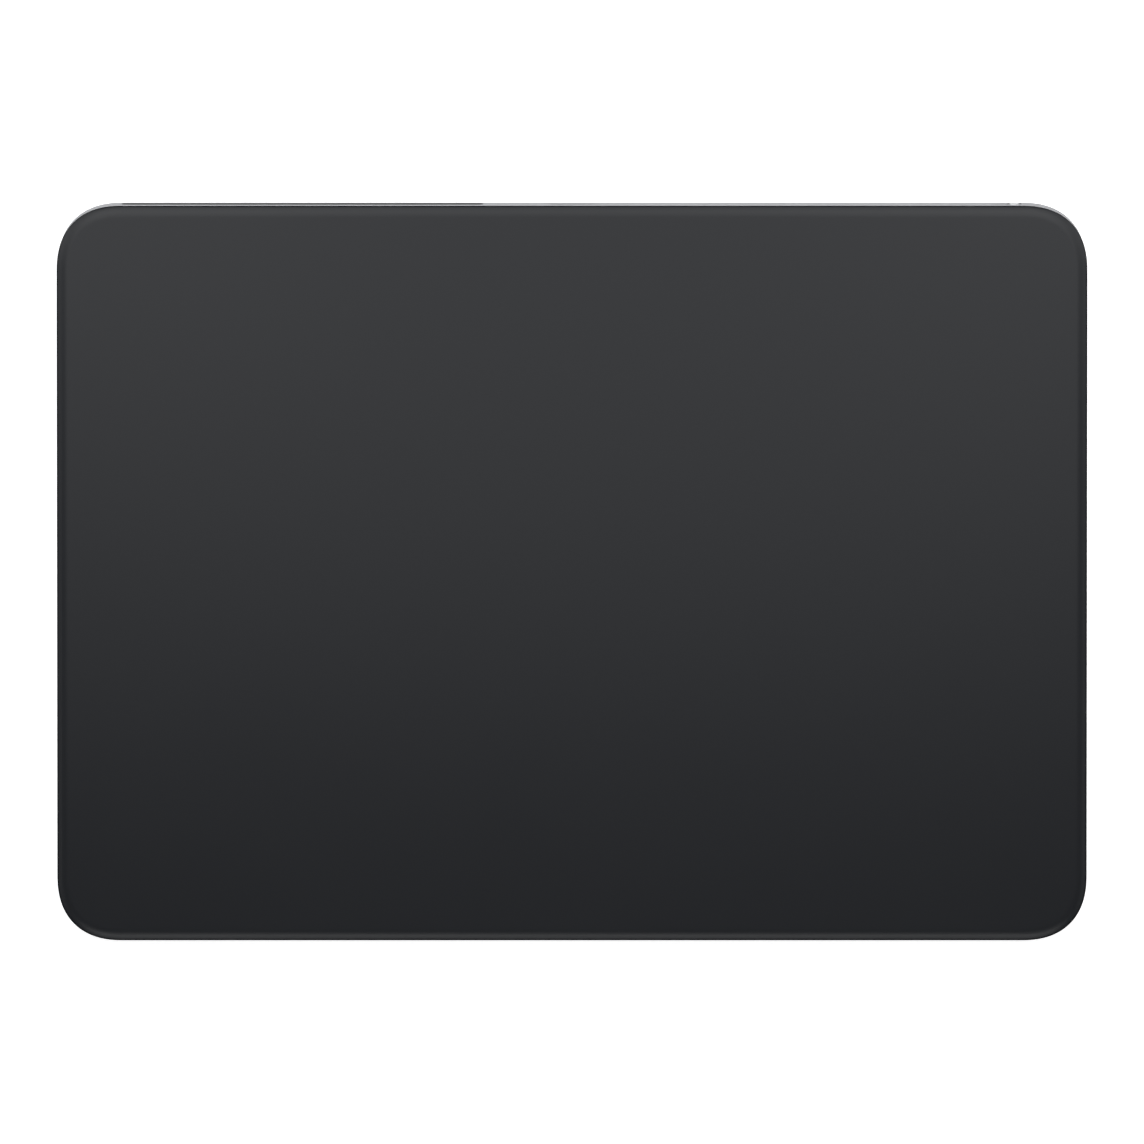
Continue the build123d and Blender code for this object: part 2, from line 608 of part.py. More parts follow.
def enclosure():
    """Machined aluminium tray: floor, sloping walls, bosses, foot recesses and the rear openings."""
    deep = WALL_FOOT - CUT_OVERRUN
    block = slab(outline(BODY_INSET), deep, RIM)
    block = chamfer(block.faces().sort_by(Axis.Z)[-1].edges(), RIM_CHAMFER)
    block = on_slope(block) & above(FOOT_HEIGHT)
    block = chamfer(block.faces().sort_by(Axis.Z)[0].edges(), BOTTOM_CHAMFER)
    cavity = on_slope(slab(outline(BODY_INSET + WALL), deep, RIM + CUT_OVERRUN)) & above(FLOOR_TOP)
    tray = block - cavity
    posts, holes = zip(*bosses())
    tray = tray + list(posts)
    tray = tray - list(holes) - [on_slope(cut) for cut in rear_cuts()]
    recess = [
        rod(x, y, FOOT_RADIUS + FOOT_CLEARANCE, FOOT_HEIGHT - CUT_OVERRUN, FOOT_HEIGHT + FOOT_RECESS)
        for x, y in foot_places().values()
    ]
    return tray - recess


def foot(x, y):
    """Round rubber foot, glued in its recess, with a bevelled rim on the desk."""
    disc = rod(x, y, FOOT_RADIUS, 0, FOOT_HEIGHT + FOOT_RECESS)
    return chamfer(disc.faces().sort_by(Axis.Z)[0].edges(), FOOT_EDGE)


# Force sensors, in the sloping frame until placed


def beam_reach():
    """From the middle of a sensor to the tip of its beam."""
    return SENSOR_PAD_RADIUS + SENSOR_BEAM_TIP


def sensor_window_ends():
    """The window's ends, measured outwards from the middle of a sensor."""
    outer = MOUNT_OUTER - 2 * SENSOR_SCREW_EDGE
    return -beam_reach() - SENSOR_BEAM_TIP, outer


def sensor_mount(side, end):
    """Spring-steel frame screwed to two bosses, with a window round its beam."""
    inner, outer = sensor_window_ends()
    sheet = Rectangle(SENSOR_MOUNT_LENGTH, SENSOR_MOUNT_DEPTH)
    sheet = Pos(side * (MOUNT_OUTER - MOUNT_INNER) / 2, 0) * chamfer(sheet.vertices(), SENSOR_MOUNT_CORNER)
    opening = Pos(side * (inner + outer) / 2, 0) * Rectangle(outer - inner, SENSOR_WINDOW_DEPTH)
    frame = slab(Pos(side * SENSOR_X, end * SENSOR_Y) * (sheet - opening), SENSOR_UNDERSIDE, SENSOR_TOP)
    for x, y in sensor_screw_places(side, end):
        frame -= screw_hole(x, y, SENSOR_UNDERSIDE - CUT_OVERRUN, SENSOR_TOP + CUT_OVERRUN)
    return on_slope(frame)


def sensor_beam(side, end):
    """Sprung tongue of a force sensor, rooted at the outer end of the window."""
    outer = sensor_window_ends()[1]
    tip = beam_reach()
    tongue = Pos(side * (outer - tip) / 2, 0) * Rectangle(outer + tip, SENSOR_BEAM_DEPTH)
    corners = tongue.vertices().sort_by(Axis.X)
    tongue = fillet(corners[:2] if side > 0 else corners[-2:], SENSOR_BEAM_TIP)
    beam = slab(Pos(side * SENSOR_X, end * SENSOR_Y) * tongue, SENSOR_UNDERSIDE, SENSOR_TOP)
    return on_slope(beam)


def sensor_pads():
    """Soft gel pads between the four beams and the stiffener."""
    return Compound(
        [
            on_slope(pin(side * SENSOR_X, end * SENSOR_Y, SENSOR_PAD_RADIUS, SENSOR_TOP, STACK_UNDERSIDE))
            for side, end in CORNERS.values()
        ]
    )


def strain_gauges():
    """Four strain gauges, each on the root of its beam."""
    gauges = []
    for side, end in CORNERS.values():
        outer = sensor_window_ends()[1]
        x = side * (SENSOR_X + outer - GAUGE_LENGTH / 2)
        patch = Pos(x, end * SENSOR_Y) * Rectangle(GAUGE_LENGTH, GAUGE_DEPTH)
        gauges.append(on_slope(slab(patch, SENSOR_UNDERSIDE - GAUGE_THICKNESS, SENSOR_UNDERSIDE)))
    return Compound(gauges)


# Haptic engine, in the sloping frame until placed


def tooth_places():
    """Middle of each tooth along the core."""
    first = ENGINE_MIDDLE - (TOOTH_COUNT - 1) / 2 * TOOTH_PITCH
    return [first + i * TOOTH_PITCH for i in range(TOOTH_COUNT)]


def stator_core():
    """Laminated comb: a back iron with one tooth through each coil."""
    half = CORE_LENGTH / 2
    comb = plate(CORE_LEFT, CORE_LEFT + BACK_IRON, ENGINE_MIDDLE - half, ENGINE_MIDDLE + half, COIL_CORNER)
    tooth = Rectangle(TOOTH_LENGTH + BACK_IRON / 2, TOOTH_DEPTH, align=(Align.MAX, Align.CENTER))
    for y in tooth_places():
        comb += Pos(TOOTH_TIP, y) * tooth
    return on_slope(slab(comb, CORE_BOTTOM, CORE_TOP))


def stator_coil(y):
    """Copper winding round one tooth, drawn as a closed ring of its outer shape."""
    near = CORE_LEFT + BACK_IRON + COIL_END_GAP
    far = TOOTH_TIP - COIL_END_GAP
    height = CORE_TOP - CORE_BOTTOM
    around = Plane((near, y, (CORE_TOP + CORE_BOTTOM) / 2), x_dir=(0, 1, 0), z_dir=(1, 0, 0))
    outer = Rectangle(TOOTH_DEPTH + 2 * WINDING_SIDE, height + 2 * WINDING)
    outer = chamfer(outer.vertices(), COIL_CORNER)
    inner = Rectangle(TOOTH_DEPTH + 2 * COIL_SLACK, height + 2 * COIL_SLACK)
    return on_slope(extrude(around * (outer - inner), far - near))


def stator_bracket():
    """Sheet-metal bed of the engine, with a rail under the back iron and an ear at each end."""
    half_x = ENGINE_WIDTH / 2 + ENGINE_SHEET_MARGIN
    bed = plate(-half_x, half_x, ENGINE_FRONT, ENGINE_REAR, COIL_CORNER)
    bed = slab(bed, ENGINE_UNDERSIDE, ENGINE_SHEET_TOP)
    half = CORE_LENGTH / 2
    rail = plate(CORE_LEFT, CORE_LEFT + BACK_IRON, ENGINE_MIDDLE - half, ENGINE_MIDDLE + half, COIL_CORNER)
    bed += slab(rail, ENGINE_SHEET_TOP, CORE_BOTTOM)
    for x, y in engine_screw_places():
        bed -= screw_hole(x, y, ENGINE_UNDERSIDE - CUT_OVERRUN, ENGINE_SHEET_TOP + CUT_OVERRUN)
    return on_slope(bed)


# Battery, on the level


def battery_cell(side):
    """Pouch cell: a soft-edged body and the thin sealed terrace along its rear edge."""
    near, far = sorted((side * BATTERY_INNER, side * BATTERY_OUTER))
    body = slab(
        plate(near, far, BATTERY_FRONT, BATTERY_REAR - BATTERY_SEAL - CELL_BOARD_DEPTH, BATTERY_CORNER),
        BATTERY_BOTTOM,
        BATTERY_TOP,
    )
    body = chamfer(body.faces().sort_by(Axis.Z)[-1].edges(), BATTERY_EDGE)
    half = BATTERY_SEAL_THICKNESS / 2
    seal = plate(
        near + BATTERY_CORNER,
        far - BATTERY_CORNER,
        BATTERY_REAR - 2 * BATTERY_SEAL - CELL_BOARD_DEPTH,
        BATTERY_REAR - CELL_BOARD_DEPTH,
        BATTERY_EDGE,
    )
    return body + slab(seal, BATTERY_MIDDLE - half, BATTERY_MIDDLE + half)


def battery_tapes():
    """Stretch-release tapes that hold the two cells to the floor."""
    tapes = []
    for side in (-1, 1):
        near, far = sorted((side * (BATTERY_INNER + TAPE_INSET), side * (BATTERY_OUTER - TAPE_INSET)))
        rear = BATTERY_REAR - BATTERY_SEAL - CELL_BOARD_DEPTH - TAPE_INSET
        front = BATTERY_FRONT + TAPE_INSET
        strip = Pos((near + far) / 2, (front + rear) / 2) * Rectangle(far - near, rear - front)
        tapes.append(slab(strip, FLOOR_TOP, BATTERY_BOTTOM))
    return Compound(tapes)


def cell_boards():
    """Protection boards across the terminals of the cells, each at the edge of its terrace."""
    boards = []
    for side in (-1, 1):
        middle = Pos(side * CELL_BOARD_X, BATTERY_REAR - CELL_BOARD_DEPTH / 2)
        board = middle * Rectangle(CELL_BOARD_WIDTH, CELL_BOARD_DEPTH)
        half = CELL_BOARD_THICKNESS / 2
        boards.append(slab(board, BATTERY_MIDDLE - half, BATTERY_MIDDLE + half))
    return Compound(boards)


# Logic board, on the level


def logic_board():
    """L-shaped board: a wing in front of the port and a wider part beside it."""
    sheet = plate(LOGIC_LEFT, LOGIC_RIGHT, LOGIC_FRONT, LOGIC_STEP_Y, BOARD_CORNER)
    sheet += plate(LOGIC_STEP_X, LOGIC_RIGHT, LOGIC_FRONT, LOGIC_REAR, BOARD_CORNER)
    board = slab(sheet, LOGIC_UNDERSIDE, LOGIC_TOP)
    for x, y in LOGIC_SCREWS:
        board -= screw_hole(x, y, LOGIC_UNDERSIDE - CUT_OVERRUN, LOGIC_TOP + CUT_OVERRUN)
    return board


def radio_shield():
    """Drawn steel can over the radio, with a pressed-in step round its lid."""
    right = SHIELD_LEFT + SHIELD_WIDTH
    base = plate(SHIELD_LEFT, right, SHIELD_REAR - SHIELD_DEPTH, SHIELD_REAR, SHIELD_CORNER)
    lid = plate(
        SHIELD_LEFT + 2 * SHIELD_SHEET,
        right - 2 * SHIELD_SHEET,
        SHIELD_REAR - SHIELD_DEPTH + 2 * SHIELD_SHEET,
        SHIELD_REAR - 2 * SHIELD_SHEET,
        SHIELD_CORNER - SHIELD_SHEET,
    )
    can = slab(base, LOGIC_TOP, LOGIC_TOP + SHIELD_HEIGHT - SHIELD_SHEET)
    return can + slab(lid, LOGIC_TOP + SHIELD_HEIGHT - SHIELD_SHEET, LOGIC_TOP + SHIELD_HEIGHT)


def logic_chips():
    """Processor, memory and charger chips on the logic board."""
    sizes = [(CHIP_SIZE, CHIP_SIZE), (MEMORY_WIDTH, MEMORY_DEPTH), (MEMORY_DEPTH, MEMORY_DEPTH)]
    left = LOGIC_STEP_X + 2 * BOARD_SCREW_EDGE
    chips = []
    for width, depth in sizes:
        corner = Pos(left, LOGIC_REAR - PART_SPACING)
        chip = corner * Rectangle(width, depth, align=(Align.MIN, Align.MAX))
        chips.append(slab(chip, LOGIC_TOP, LOGIC_TOP + CHIP_HEIGHT))
        left += width + PART_SPACING
    return Compound(chips)


def board_sockets():
    """Connectors on the logic board for the touch board and the two battery cells."""
    places = [(TOUCH_SOCKET_X, level_y(TOUCH_SOCKET_Y))]
    places += [(side * CELL_BOARD_X, BATTERY_SOCKET_Y) for side in (-1, 1)]
    body = slab(Rectangle(SOCKET_WIDTH, SOCKET_DEPTH), LOGIC_TOP, LOGIC_TOP + SOCKET_HEIGHT)
    return Compound([Pos(x, y) * body for x, y in places])


# Charging port, in the sloping frame until placed


def port_shell():
    """Drawn steel sleeve that the plug enters."""
    sleeve = port_shape(PORT_SHELL_SHEET) - port_shape(0)
    return on_slope(panel(sleeve, PORT_SHELL_FRONT, PORT_SHELL_REAR))


def port_core():
    """Moulded base that closes the sleeve, with the contact tongue standing out of it."""
    base = panel(port_shape(0), PORT_SHELL_FRONT, PORT_SHELL_FRONT + PORT_BASE_DEPTH)
    tongue = Pos(0, REAR_MIDDLE) * Rectangle(PORT_TONGUE_WIDTH, PORT_TONGUE_THICKNESS)
    tongue = chamfer(tongue.vertices(), PORT_TONGUE_THICKNESS / 4)
    return on_slope(base + panel(tongue, PORT_SHELL_FRONT, PORT_SHELL_REAR - PORT_TONGUE_RECESS))


def port_contacts():
    """Gold contacts on both faces of the tongue."""
    front = PORT_SHELL_FRONT + PORT_BASE_DEPTH
    strips = []
    for face in (-1, 1):
        height = REAR_MIDDLE + face * (PORT_TONGUE_THICKNESS + PORT_CONTACT_THICKNESS) / 2
        for i in range(PORT_CONTACTS):
            x = (i - (PORT_CONTACTS - 1) / 2) * PORT_CONTACT_PITCH
            strip = Pos(x, height) * Rectangle(PORT_CONTACT_WIDTH, PORT_CONTACT_THICKNESS)
            strips.append(on_slope(panel(strip, front, front + PORT_CONTACT_LENGTH)))
    return Compound(strips)


def port_board():
    """Small board that carries the port, on two bosses."""
    half = PORT_BOARD_WIDTH / 2
    board = slab(
        plate(-half, half, PORT_BOARD_FRONT, PORT_BOARD_REAR, BOARD_CORNER),
        PORT_BOARD_TOP - PORT_BOARD_THICKNESS,
        PORT_BOARD_TOP,
    )
    for x, y in PORT_SCREWS:
        board -= screw_hole(x, y, PORT_BOARD_TOP - CUT_OVERRUN, PORT_BOARD_TOP + CUT_OVERRUN)
    return on_slope(board)


# Power switch, in the sloping frame until placed


def power_slider():
    """Slider of the power switch: dished knob, backing plate and the fork that drives the switch."""
    knob = Pos(KNOB_X, REAR_MIDDLE) * SlotOverall(KNOB_WIDTH, KNOB_HEIGHT)
    knob = panel(knob, SLIDER_FRONT, REAR_FACE + KNOB_PROUD)
    dish = Pos(KNOB_X, REAR_FACE + KNOB_PROUD + KNOB_DISH_RADIUS - KNOB_DISH, REAR_MIDDLE) * Cylinder(
        KNOB_DISH_RADIUS, 2 * KNOB_HEIGHT
    )
    backing = Pos((SLIDER_LEFT + SLIDER_RIGHT) / 2, REAR_MIDDLE) * Rectangle(
        SLIDER_RIGHT - SLIDER_LEFT, SLIDER_HEIGHT
    )
    backing = chamfer(backing.vertices(), POCKET_MARGIN)
    prong_x = ACTUATOR_WIDTH / 2 + KNOB_CLEARANCE / 2 + FORK_PRONG / 2
    prongs = [
        panel(
            Pos(KNOB_X + step * prong_x, REAR_MIDDLE) * Rectangle(FORK_PRONG, FORK_HEIGHT),
            FORK_END,
            SLIDER_FRONT,
        )
        for step in (-1, 1)
    ]
    return on_slope(panel(backing, SLIDER_FRONT, SLIDER_REAR) + (knob - dish) + prongs)


def slider_retainer():
    """Sheet-metal bracket that keeps the slider in its pocket, with a tab under each board screw."""
    left = SLIDER_LEFT - SWITCH_TRAVEL
    plate_shape = Pos((left + SLIDER_RIGHT) / 2, REAR_MIDDLE) * Rectangle(SLIDER_RIGHT - left, SLIDER_HEIGHT)
    reach = ACTUATOR_WIDTH / 2 + FORK_PRONG + KNOB_CLEARANCE + POCKET_MARGIN
    fork_way = Pos(SWITCH_MIDDLE_X, REAR_MIDDLE) * Rectangle(
        SWITCH_TRAVEL + 2 * reach, FORK_HEIGHT + 2 * POCKET_MARGIN
    )
    bracket = panel(plate_shape - fork_way, RETAINER_FRONT, RETAINER_REAR)
    for side, edge, (x, y) in zip((-1, 1), (left, SLIDER_RIGHT), SWITCH_SCREWS):
        inner = SWITCH_MIDDLE_X + side * (SWITCH_BODY_LENGTH / 2 + KNOB_CLEARANCE)
        arm = Pos((edge + inner) / 2, (y + RETAINER_REAR) / 2) * Rectangle(
            abs(edge - inner), RETAINER_REAR - y
        )
        eye = Pos(x, y) * RegularPolygon(SWITCH_SCREW_EDGE, SMALL_SIDES)
        bracket += slab(arm + eye, SWITCH_BOARD_TOP, SWITCH_BOARD_TOP + RETAINER_SHEET)
    for x, y in SWITCH_SCREWS:
        bracket -= screw_hole(x, y, SWITCH_BOARD_TOP - CUT_OVERRUN, SWITCH_BOARD_TOP + CUT_OVERRUN)
    return on_slope(bracket)


def actuator_shape(grow):
    """The switch's actuator seen from behind, larger all round by this much."""
    return Rectangle(ACTUATOR_WIDTH + 2 * grow, ACTUATOR_HEIGHT + 2 * grow)


def switch_body():
    """Slide switch in a steel can, with the slot that its actuator runs in."""
    can = Pos(SWITCH_MIDDLE_X, REAR_MIDDLE) * Rectangle(SWITCH_BODY_LENGTH, SWITCH_BODY_HEIGHT)
    can = panel(can, SWITCH_BODY_FRONT, SWITCH_BODY_REAR)
    way = Pos(SWITCH_MIDDLE_X, REAR_MIDDLE) * Rectangle(
        ACTUATOR_WIDTH + SWITCH_TRAVEL + 2 * KNOB_CLEARANCE, ACTUATOR_HEIGHT + 2 * KNOB_CLEARANCE
    )
    buried = SWITCH_BODY_REAR - ACTUATOR_BURIED - KNOB_CLEARANCE
    return on_slope(can - panel(way, buried, SWITCH_BODY_REAR + CUT_OVERRUN))


def switch_actuator():
    """Plastic lever of the slide switch, held between the prongs of the fork."""
    lever = Pos(KNOB_X, REAR_MIDDLE) * actuator_shape(0)
    return on_slope(panel(lever, SWITCH_BODY_REAR - ACTUATOR_BURIED, FORK_END + FORK_REACH / 2))


def switch_board():
    """Small board that carries the slide switch, on two bosses."""
    board = slab(
        plate(
            SWITCH_BOARD_LEFT,
            SWITCH_MIDDLE_X + SWITCH_BOARD_HALF,
            SWITCH_BOARD_REAR - SWITCH_BOARD_DEPTH,
            SWITCH_BOARD_REAR,
            SWITCH_BOARD_CORNER,
        ),
        SWITCH_BOARD_TOP - SWITCH_BOARD_THICKNESS,
        SWITCH_BOARD_TOP,
    )
    for x, y in SWITCH_SCREWS:
        board -= screw_hole(x, y, SWITCH_BOARD_TOP - CUT_OVERRUN, SWITCH_BOARD_TOP + CUT_OVERRUN)
    return on_slope(board)


# Antenna


def antenna_window():
    """Plastic strip that lets radio through the rear wall, flush outside, with a glued flange inside."""
    strip = panel(antenna_window_shape(0), INNER_REAR, REAR_FACE)
    past_corner = Pos(-STRAIGHT_END, 0) * Rectangle(WIDTH, DEPTH, align=(Align.MAX, Align.CENTER))
    flange = antenna_window_shape(ANTENNA_FLANGE) - past_corner
    flange = panel(flange, INNER_REAR - ANTENNA_FLANGE_THICKNESS, INNER_REAR)
    return on_slope(strip + flange) & above(FLOOR_TOP)


def antenna_board():
    """Printed aerial on the inner face of the window."""
    rear = INNER_REAR - ANTENNA_FLANGE_THICKNESS
    shape = antenna_window_shape(-ANTENNA_BOARD_INSET)
    return on_slope(panel(shape, rear - ANTENNA_BOARD_THICKNESS, rear))


def antenna_cable():
    """Coaxial cable from the side of the radio's shield to the antenna board."""
    along = SHIELD_REAR - SHIELD_DEPTH / 2 - MIDDLE_Y
    height = drop_at(LOGIC_TOP + SHIELD_HEIGHT / 2, along)
    turn = SHIELD_LEFT - CABLE_RUN
    far = INNER_REAR - ANTENNA_FLANGE_THICKNESS - ANTENNA_BOARD_THICKNESS
    route = FilletPolyline((SHIELD_LEFT, along), (turn, along), (turn, far), radius=CABLE_BEND)
    section = Plane((SHIELD_LEFT, along, 0), z_dir=(-1, 0, 0)) * RegularPolygon(CABLE_RADIUS, SMALL_SIDES)
    return on_slope(Pos(0, 0, height) * sweep(section, path=route))


# Flexible circuits, on the level


def touch_flex():
    """Folded circuit between the touch board's connector and the logic board's."""
    low = LOGIC_TOP + SOCKET_HEIGHT + FLEX_THICKNESS / 2
    high = BOARD_UNDERSIDE - SOCKET_HEIGHT - FLEX_THICKNESS / 2
    fold = TOUCH_SOCKET_Y - TOUCH_FLEX_LOOP
    end = TOUCH_SOCKET_Y + SOCKET_DEPTH / 2
    upper = leveled(fold, high)
    points = [(level_y(end), low), (level_y(fold), low), upper, leveled(end, high)]
    bend = TOUCH_FLEX_ROUNDING * (upper[1] - low)
    return Pos(TOUCH_SOCKET_X, 0, 0) * ribbon(points, FLEX_WIDTH, bend)


def port_flex():
    """Circuit from the port's board to the wing of the logic board."""
    height = PORT_BOARD_TOP + FLEX_THICKNESS / 2
    on_board = LOGIC_TOP + FLEX_THICKNESS / 2
    points = [
        leveled(PORT_BOARD_FRONT + FLEX_LAP, height),
        leveled(PORT_BOARD_FRONT - FLEX_EXIT, height),
        (LOGIC_STEP_Y + FLEX_EXIT, on_board),
        (LOGIC_STEP_Y - FLEX_LAP, on_board),
    ]
    return ribbon(points, FLEX_WIDTH, FLEX_BEND)


def engine_flex():
    """Circuit from the bed of the haptic engine to the wing of the logic board."""
    height = ENGINE_SHEET_TOP + FLEX_THICKNESS / 2
    on_board = LOGIC_TOP + FLEX_THICKNESS / 2
    points = [
        leveled(ENGINE_REAR - FLEX_LAP, height),
        leveled(ENGINE_REAR + FLEX_EXIT, height),
        (LOGIC_FRONT - FLEX_EXIT, on_board),
        (LOGIC_FRONT + FLEX_LAP, on_board),
    ]
    return ribbon(points, FLEX_WIDTH, FLEX_BEND)


def battery_flexes():
    """Circuits from the two protection boards to their connectors on the logic board."""
    low = BATTERY_MIDDLE + (CELL_BOARD_THICKNESS + FLEX_THICKNESS) / 2
    high = LOGIC_TOP + SOCKET_HEIGHT + FLEX_THICKNESS / 2
    points = [
        (BATTERY_REAR - FLEX_LAP, low),
        (BATTERY_REAR + FLEX_EXIT, low),
        (LOGIC_FRONT + FLEX_EXIT, high),
        (BATTERY_SOCKET_Y + SOCKET_DEPTH / 2, high),
    ]
    flex = ribbon(points, FLEX_WIDTH, FLEX_BEND)
    return Compound([Pos(side * CELL_BOARD_X, 0, 0) * flex for side in (-1, 1)])


def switch_flex():
    """Circuit from the tail of the switch's board to the right end of the logic board."""
    height = SWITCH_BOARD_TOP + FLEX_THICKNESS / 2
    front = SWITCH_SCREW_Y - SWITCH_FLEX_WIDTH / 2
    on_board = drop_at(LOGIC_TOP, front) + FLEX_THICKNESS / 2
    points = [
        (SWITCH_BOARD_LEFT + FLEX_LAP, height),
        (SWITCH_BOARD_LEFT - FLEX_EXIT, height),
        (LOGIC_RIGHT + FLEX_EXIT, on_board),
        (LOGIC_RIGHT - FLEX_LAP, on_board),
    ]
    flex = Rot(0, 0, -90) * ribbon(points, SWITCH_FLEX_WIDTH, FLEX_BEND)
    return on_slope(Pos(0, SWITCH_SCREW_Y, 0) * flex)


# Assembly


def screws(places, seat, grip):
    """One node of identical screws, driven square to the glass."""
    return Compound([on_slope(screw(x, y, seat, grip)) for x, y in places])


def build():
    """Every piece of the trackpad, by node name."""
    pieces = {
        "cover_glass": cover_glass(),
        "glass_adhesive": glass_adhesive(),
        "touch_board": touch_board(),
        "stiffener_plate": stiffener_plate(),
        "touch_controller": touch_controller(),
        "touch_socket": touch_socket(),
        "attraction_bar": attraction_bar(),
        "touch_flex": touch_flex(),
        "enclosure": enclosure(),
        "sensor_pads": sensor_pads(),
        "strain_gauges": strain_gauges(),
        "stator_core": stator_core(),
        "stator_bracket": stator_bracket(),
        "engine_screws": screws(engine_screw_places(), ENGINE_SHEET_TOP, ENGINE_SHEET),
        "engine_flex": engine_flex(),
        "battery_cell_left": battery_cell(-1),
        "battery_cell_right": battery_cell(1),
        "battery_tapes": battery_tapes(),
        "cell_boards": cell_boards(),
        "battery_flexes": battery_flexes(),
        "logic_board": logic_board(),
        "radio_shield": radio_shield(),
        "logic_chips": logic_chips(),
        "board_sockets": board_sockets(),
        "logic_screws": Compound([screw(x, y, LOGIC_TOP, BOARD_THICKNESS) for x, y in LOGIC_SCREWS]),
        "port_shell": port_shell(),
        "port_core": port_core(),
        "port_contacts": port_contacts(),
        "port_board": port_board(),
        "port_screws": screws(PORT_SCREWS, PORT_BOARD_TOP, PORT_BOARD_THICKNESS),
        "port_flex": port_flex(),
        "power_slider": power_slider(),
        "slider_retainer": slider_retainer(),
        "switch_body": switch_body(),
        "switch_actuator": switch_actuator(),
        "switch_board": switch_board(),
        "switch_screws": screws(
            SWITCH_SCREWS, SWITCH_BOARD_TOP + RETAINER_SHEET, RETAINER_SHEET + SWITCH_BOARD_THICKNESS
        ),
        "switch_flex": switch_flex(),
        "antenna_window": antenna_window(),
        "antenna_board": antenna_board(),
        "antenna_cable": antenna_cable(),
    }
    for name, (side, end) in CORNERS.items():
        pieces[f"foot_{name}"] = foot(*foot_places()[name])
        pieces[f"sensor_mount_{name}"] = sensor_mount(side, end)
        pieces[f"sensor_beam_{name}"] = sensor_beam(side, end)
    for number, y in enumerate(tooth_places(), start=1):
        pieces[f"stator_coil_{number}"] = stator_coil(y)
    sensor_places = [place for corner in CORNERS.values() for place in sensor_screw_places(*corner)]
    pieces["sensor_screws"] = screws(sensor_places, SENSOR_TOP, SENSOR_SHEET)
    return pieces


os.makedirs("parts", exist_ok=True)
for name, shape in build().items():
    export_step(shape, f"parts/{name}.step")
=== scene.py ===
# %% [markdown]
# # Dressing a desk trackpad
# The CAD model gives every piece its place and its motion. This lesson gives the pieces that show
# their real edges and skins: a sheet of satin black glass, a blasted aluminium tray, rubber feet.
# It also sets a plain pale floor, soft lamps and a camera that looks straight down, as for a
# catalogue picture.

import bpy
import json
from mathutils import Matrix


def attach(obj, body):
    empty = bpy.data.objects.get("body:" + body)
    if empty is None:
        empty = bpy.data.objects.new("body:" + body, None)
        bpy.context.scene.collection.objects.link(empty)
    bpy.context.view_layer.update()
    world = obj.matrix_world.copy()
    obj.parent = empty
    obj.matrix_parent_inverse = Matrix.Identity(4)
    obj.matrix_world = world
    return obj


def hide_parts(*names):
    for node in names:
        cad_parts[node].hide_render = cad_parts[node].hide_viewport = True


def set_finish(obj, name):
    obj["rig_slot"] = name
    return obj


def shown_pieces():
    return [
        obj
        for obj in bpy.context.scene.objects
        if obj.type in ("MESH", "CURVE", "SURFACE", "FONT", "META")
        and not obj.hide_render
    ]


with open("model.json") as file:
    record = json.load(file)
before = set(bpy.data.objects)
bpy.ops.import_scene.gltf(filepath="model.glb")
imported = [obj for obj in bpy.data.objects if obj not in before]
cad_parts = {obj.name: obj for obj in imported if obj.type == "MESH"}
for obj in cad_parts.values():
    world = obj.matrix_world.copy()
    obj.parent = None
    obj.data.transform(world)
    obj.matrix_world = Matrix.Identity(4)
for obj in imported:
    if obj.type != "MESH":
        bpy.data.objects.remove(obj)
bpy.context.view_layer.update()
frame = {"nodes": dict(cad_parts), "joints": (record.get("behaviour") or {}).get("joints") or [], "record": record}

# %% [markdown]
# ## Sizes
# The glass slopes towards the user, so most pieces are drawn on a level plane, where the top of the
# glass is height 0, and are then laid on the slope in one go. The slope is read from the joint that
# presses the glass down, because that joint moves square to the glass.

# %% Sizes and the slope
import json
import math

import bpy
from mathutils import Matrix, Vector

MM = 0.001
WIDTH, DEPTH = 160.0, 114.4
GLASS, EDGE_DROP, EDGE_RADIUS = 1.0, 0.6, 3.0
CORNER_REACH, CORNER_FULLNESS = 10.246, 0.558
BODY_INSET, WALL, RIM = 0.05, 1.6, -1.35
UNDERSIDE, FLOOR_TOP = 0.6, 1.5
MIDDLE_Y, MIDDLE_HEIGHT = -0.2517, 7.9435
REAR_FACE = DEPTH / 2 - BODY_INSET
REAR_MIDDLE = -5.8745

press = next(joint for joint in frame["joints"] if joint["name"] == "plate_press")
slope_angle = math.asin(press["axis"][1])
lift_to_middle = Matrix.Translation((0, MIDDLE_Y * MM, MIDDLE_HEIGHT * MM))
SLOPE = lift_to_middle @ Matrix.Rotation(slope_angle, 4, "X")
print("slope in degrees:", round(math.degrees(slope_angle), 3))

# %% [markdown]
# ## Working as by hand
# Blender's operators act on what is selected. These helpers select one piece, or the faces or edges
# of it that pass a test on their middle and direction, and leave edit mode again afterwards.

# %% Selecting in code


def select_nothing():
    """Leaves edit mode and deselects everything."""
    if bpy.context.object and bpy.context.object.mode != "OBJECT":
        bpy.ops.object.mode_set(mode="OBJECT")
    bpy.ops.object.select_all(action="DESELECT")


def alone(piece):
    """Selects this piece only, out of edit mode."""
    select_nothing()
    piece.select_set(True)
    bpy.context.view_layer.objects.active = piece


def pick(piece, kind, test):
    """Goes into edit mode with only the faces or edges selected whose middle and direction pass."""
    alone(piece)
    mesh = piece.data
    for group in (mesh.vertices, mesh.edges, mesh.polygons):
        group.foreach_set("select", [False] * len(group))
    bpy.context.tool_settings.mesh_select_mode = (False, kind == "EDGE", kind == "FACE")
    if kind == "FACE":
        for face in mesh.polygons:
            face.select = test(face.center / MM, face.normal)
    else:
        for edge in mesh.edges:
            a, b = (mesh.vertices[i].co for i in edge.vertices)
            edge.select = test((a + b) / 2 / MM, (b - a).normalized())
    bpy.ops.object.mode_set(mode="EDIT")


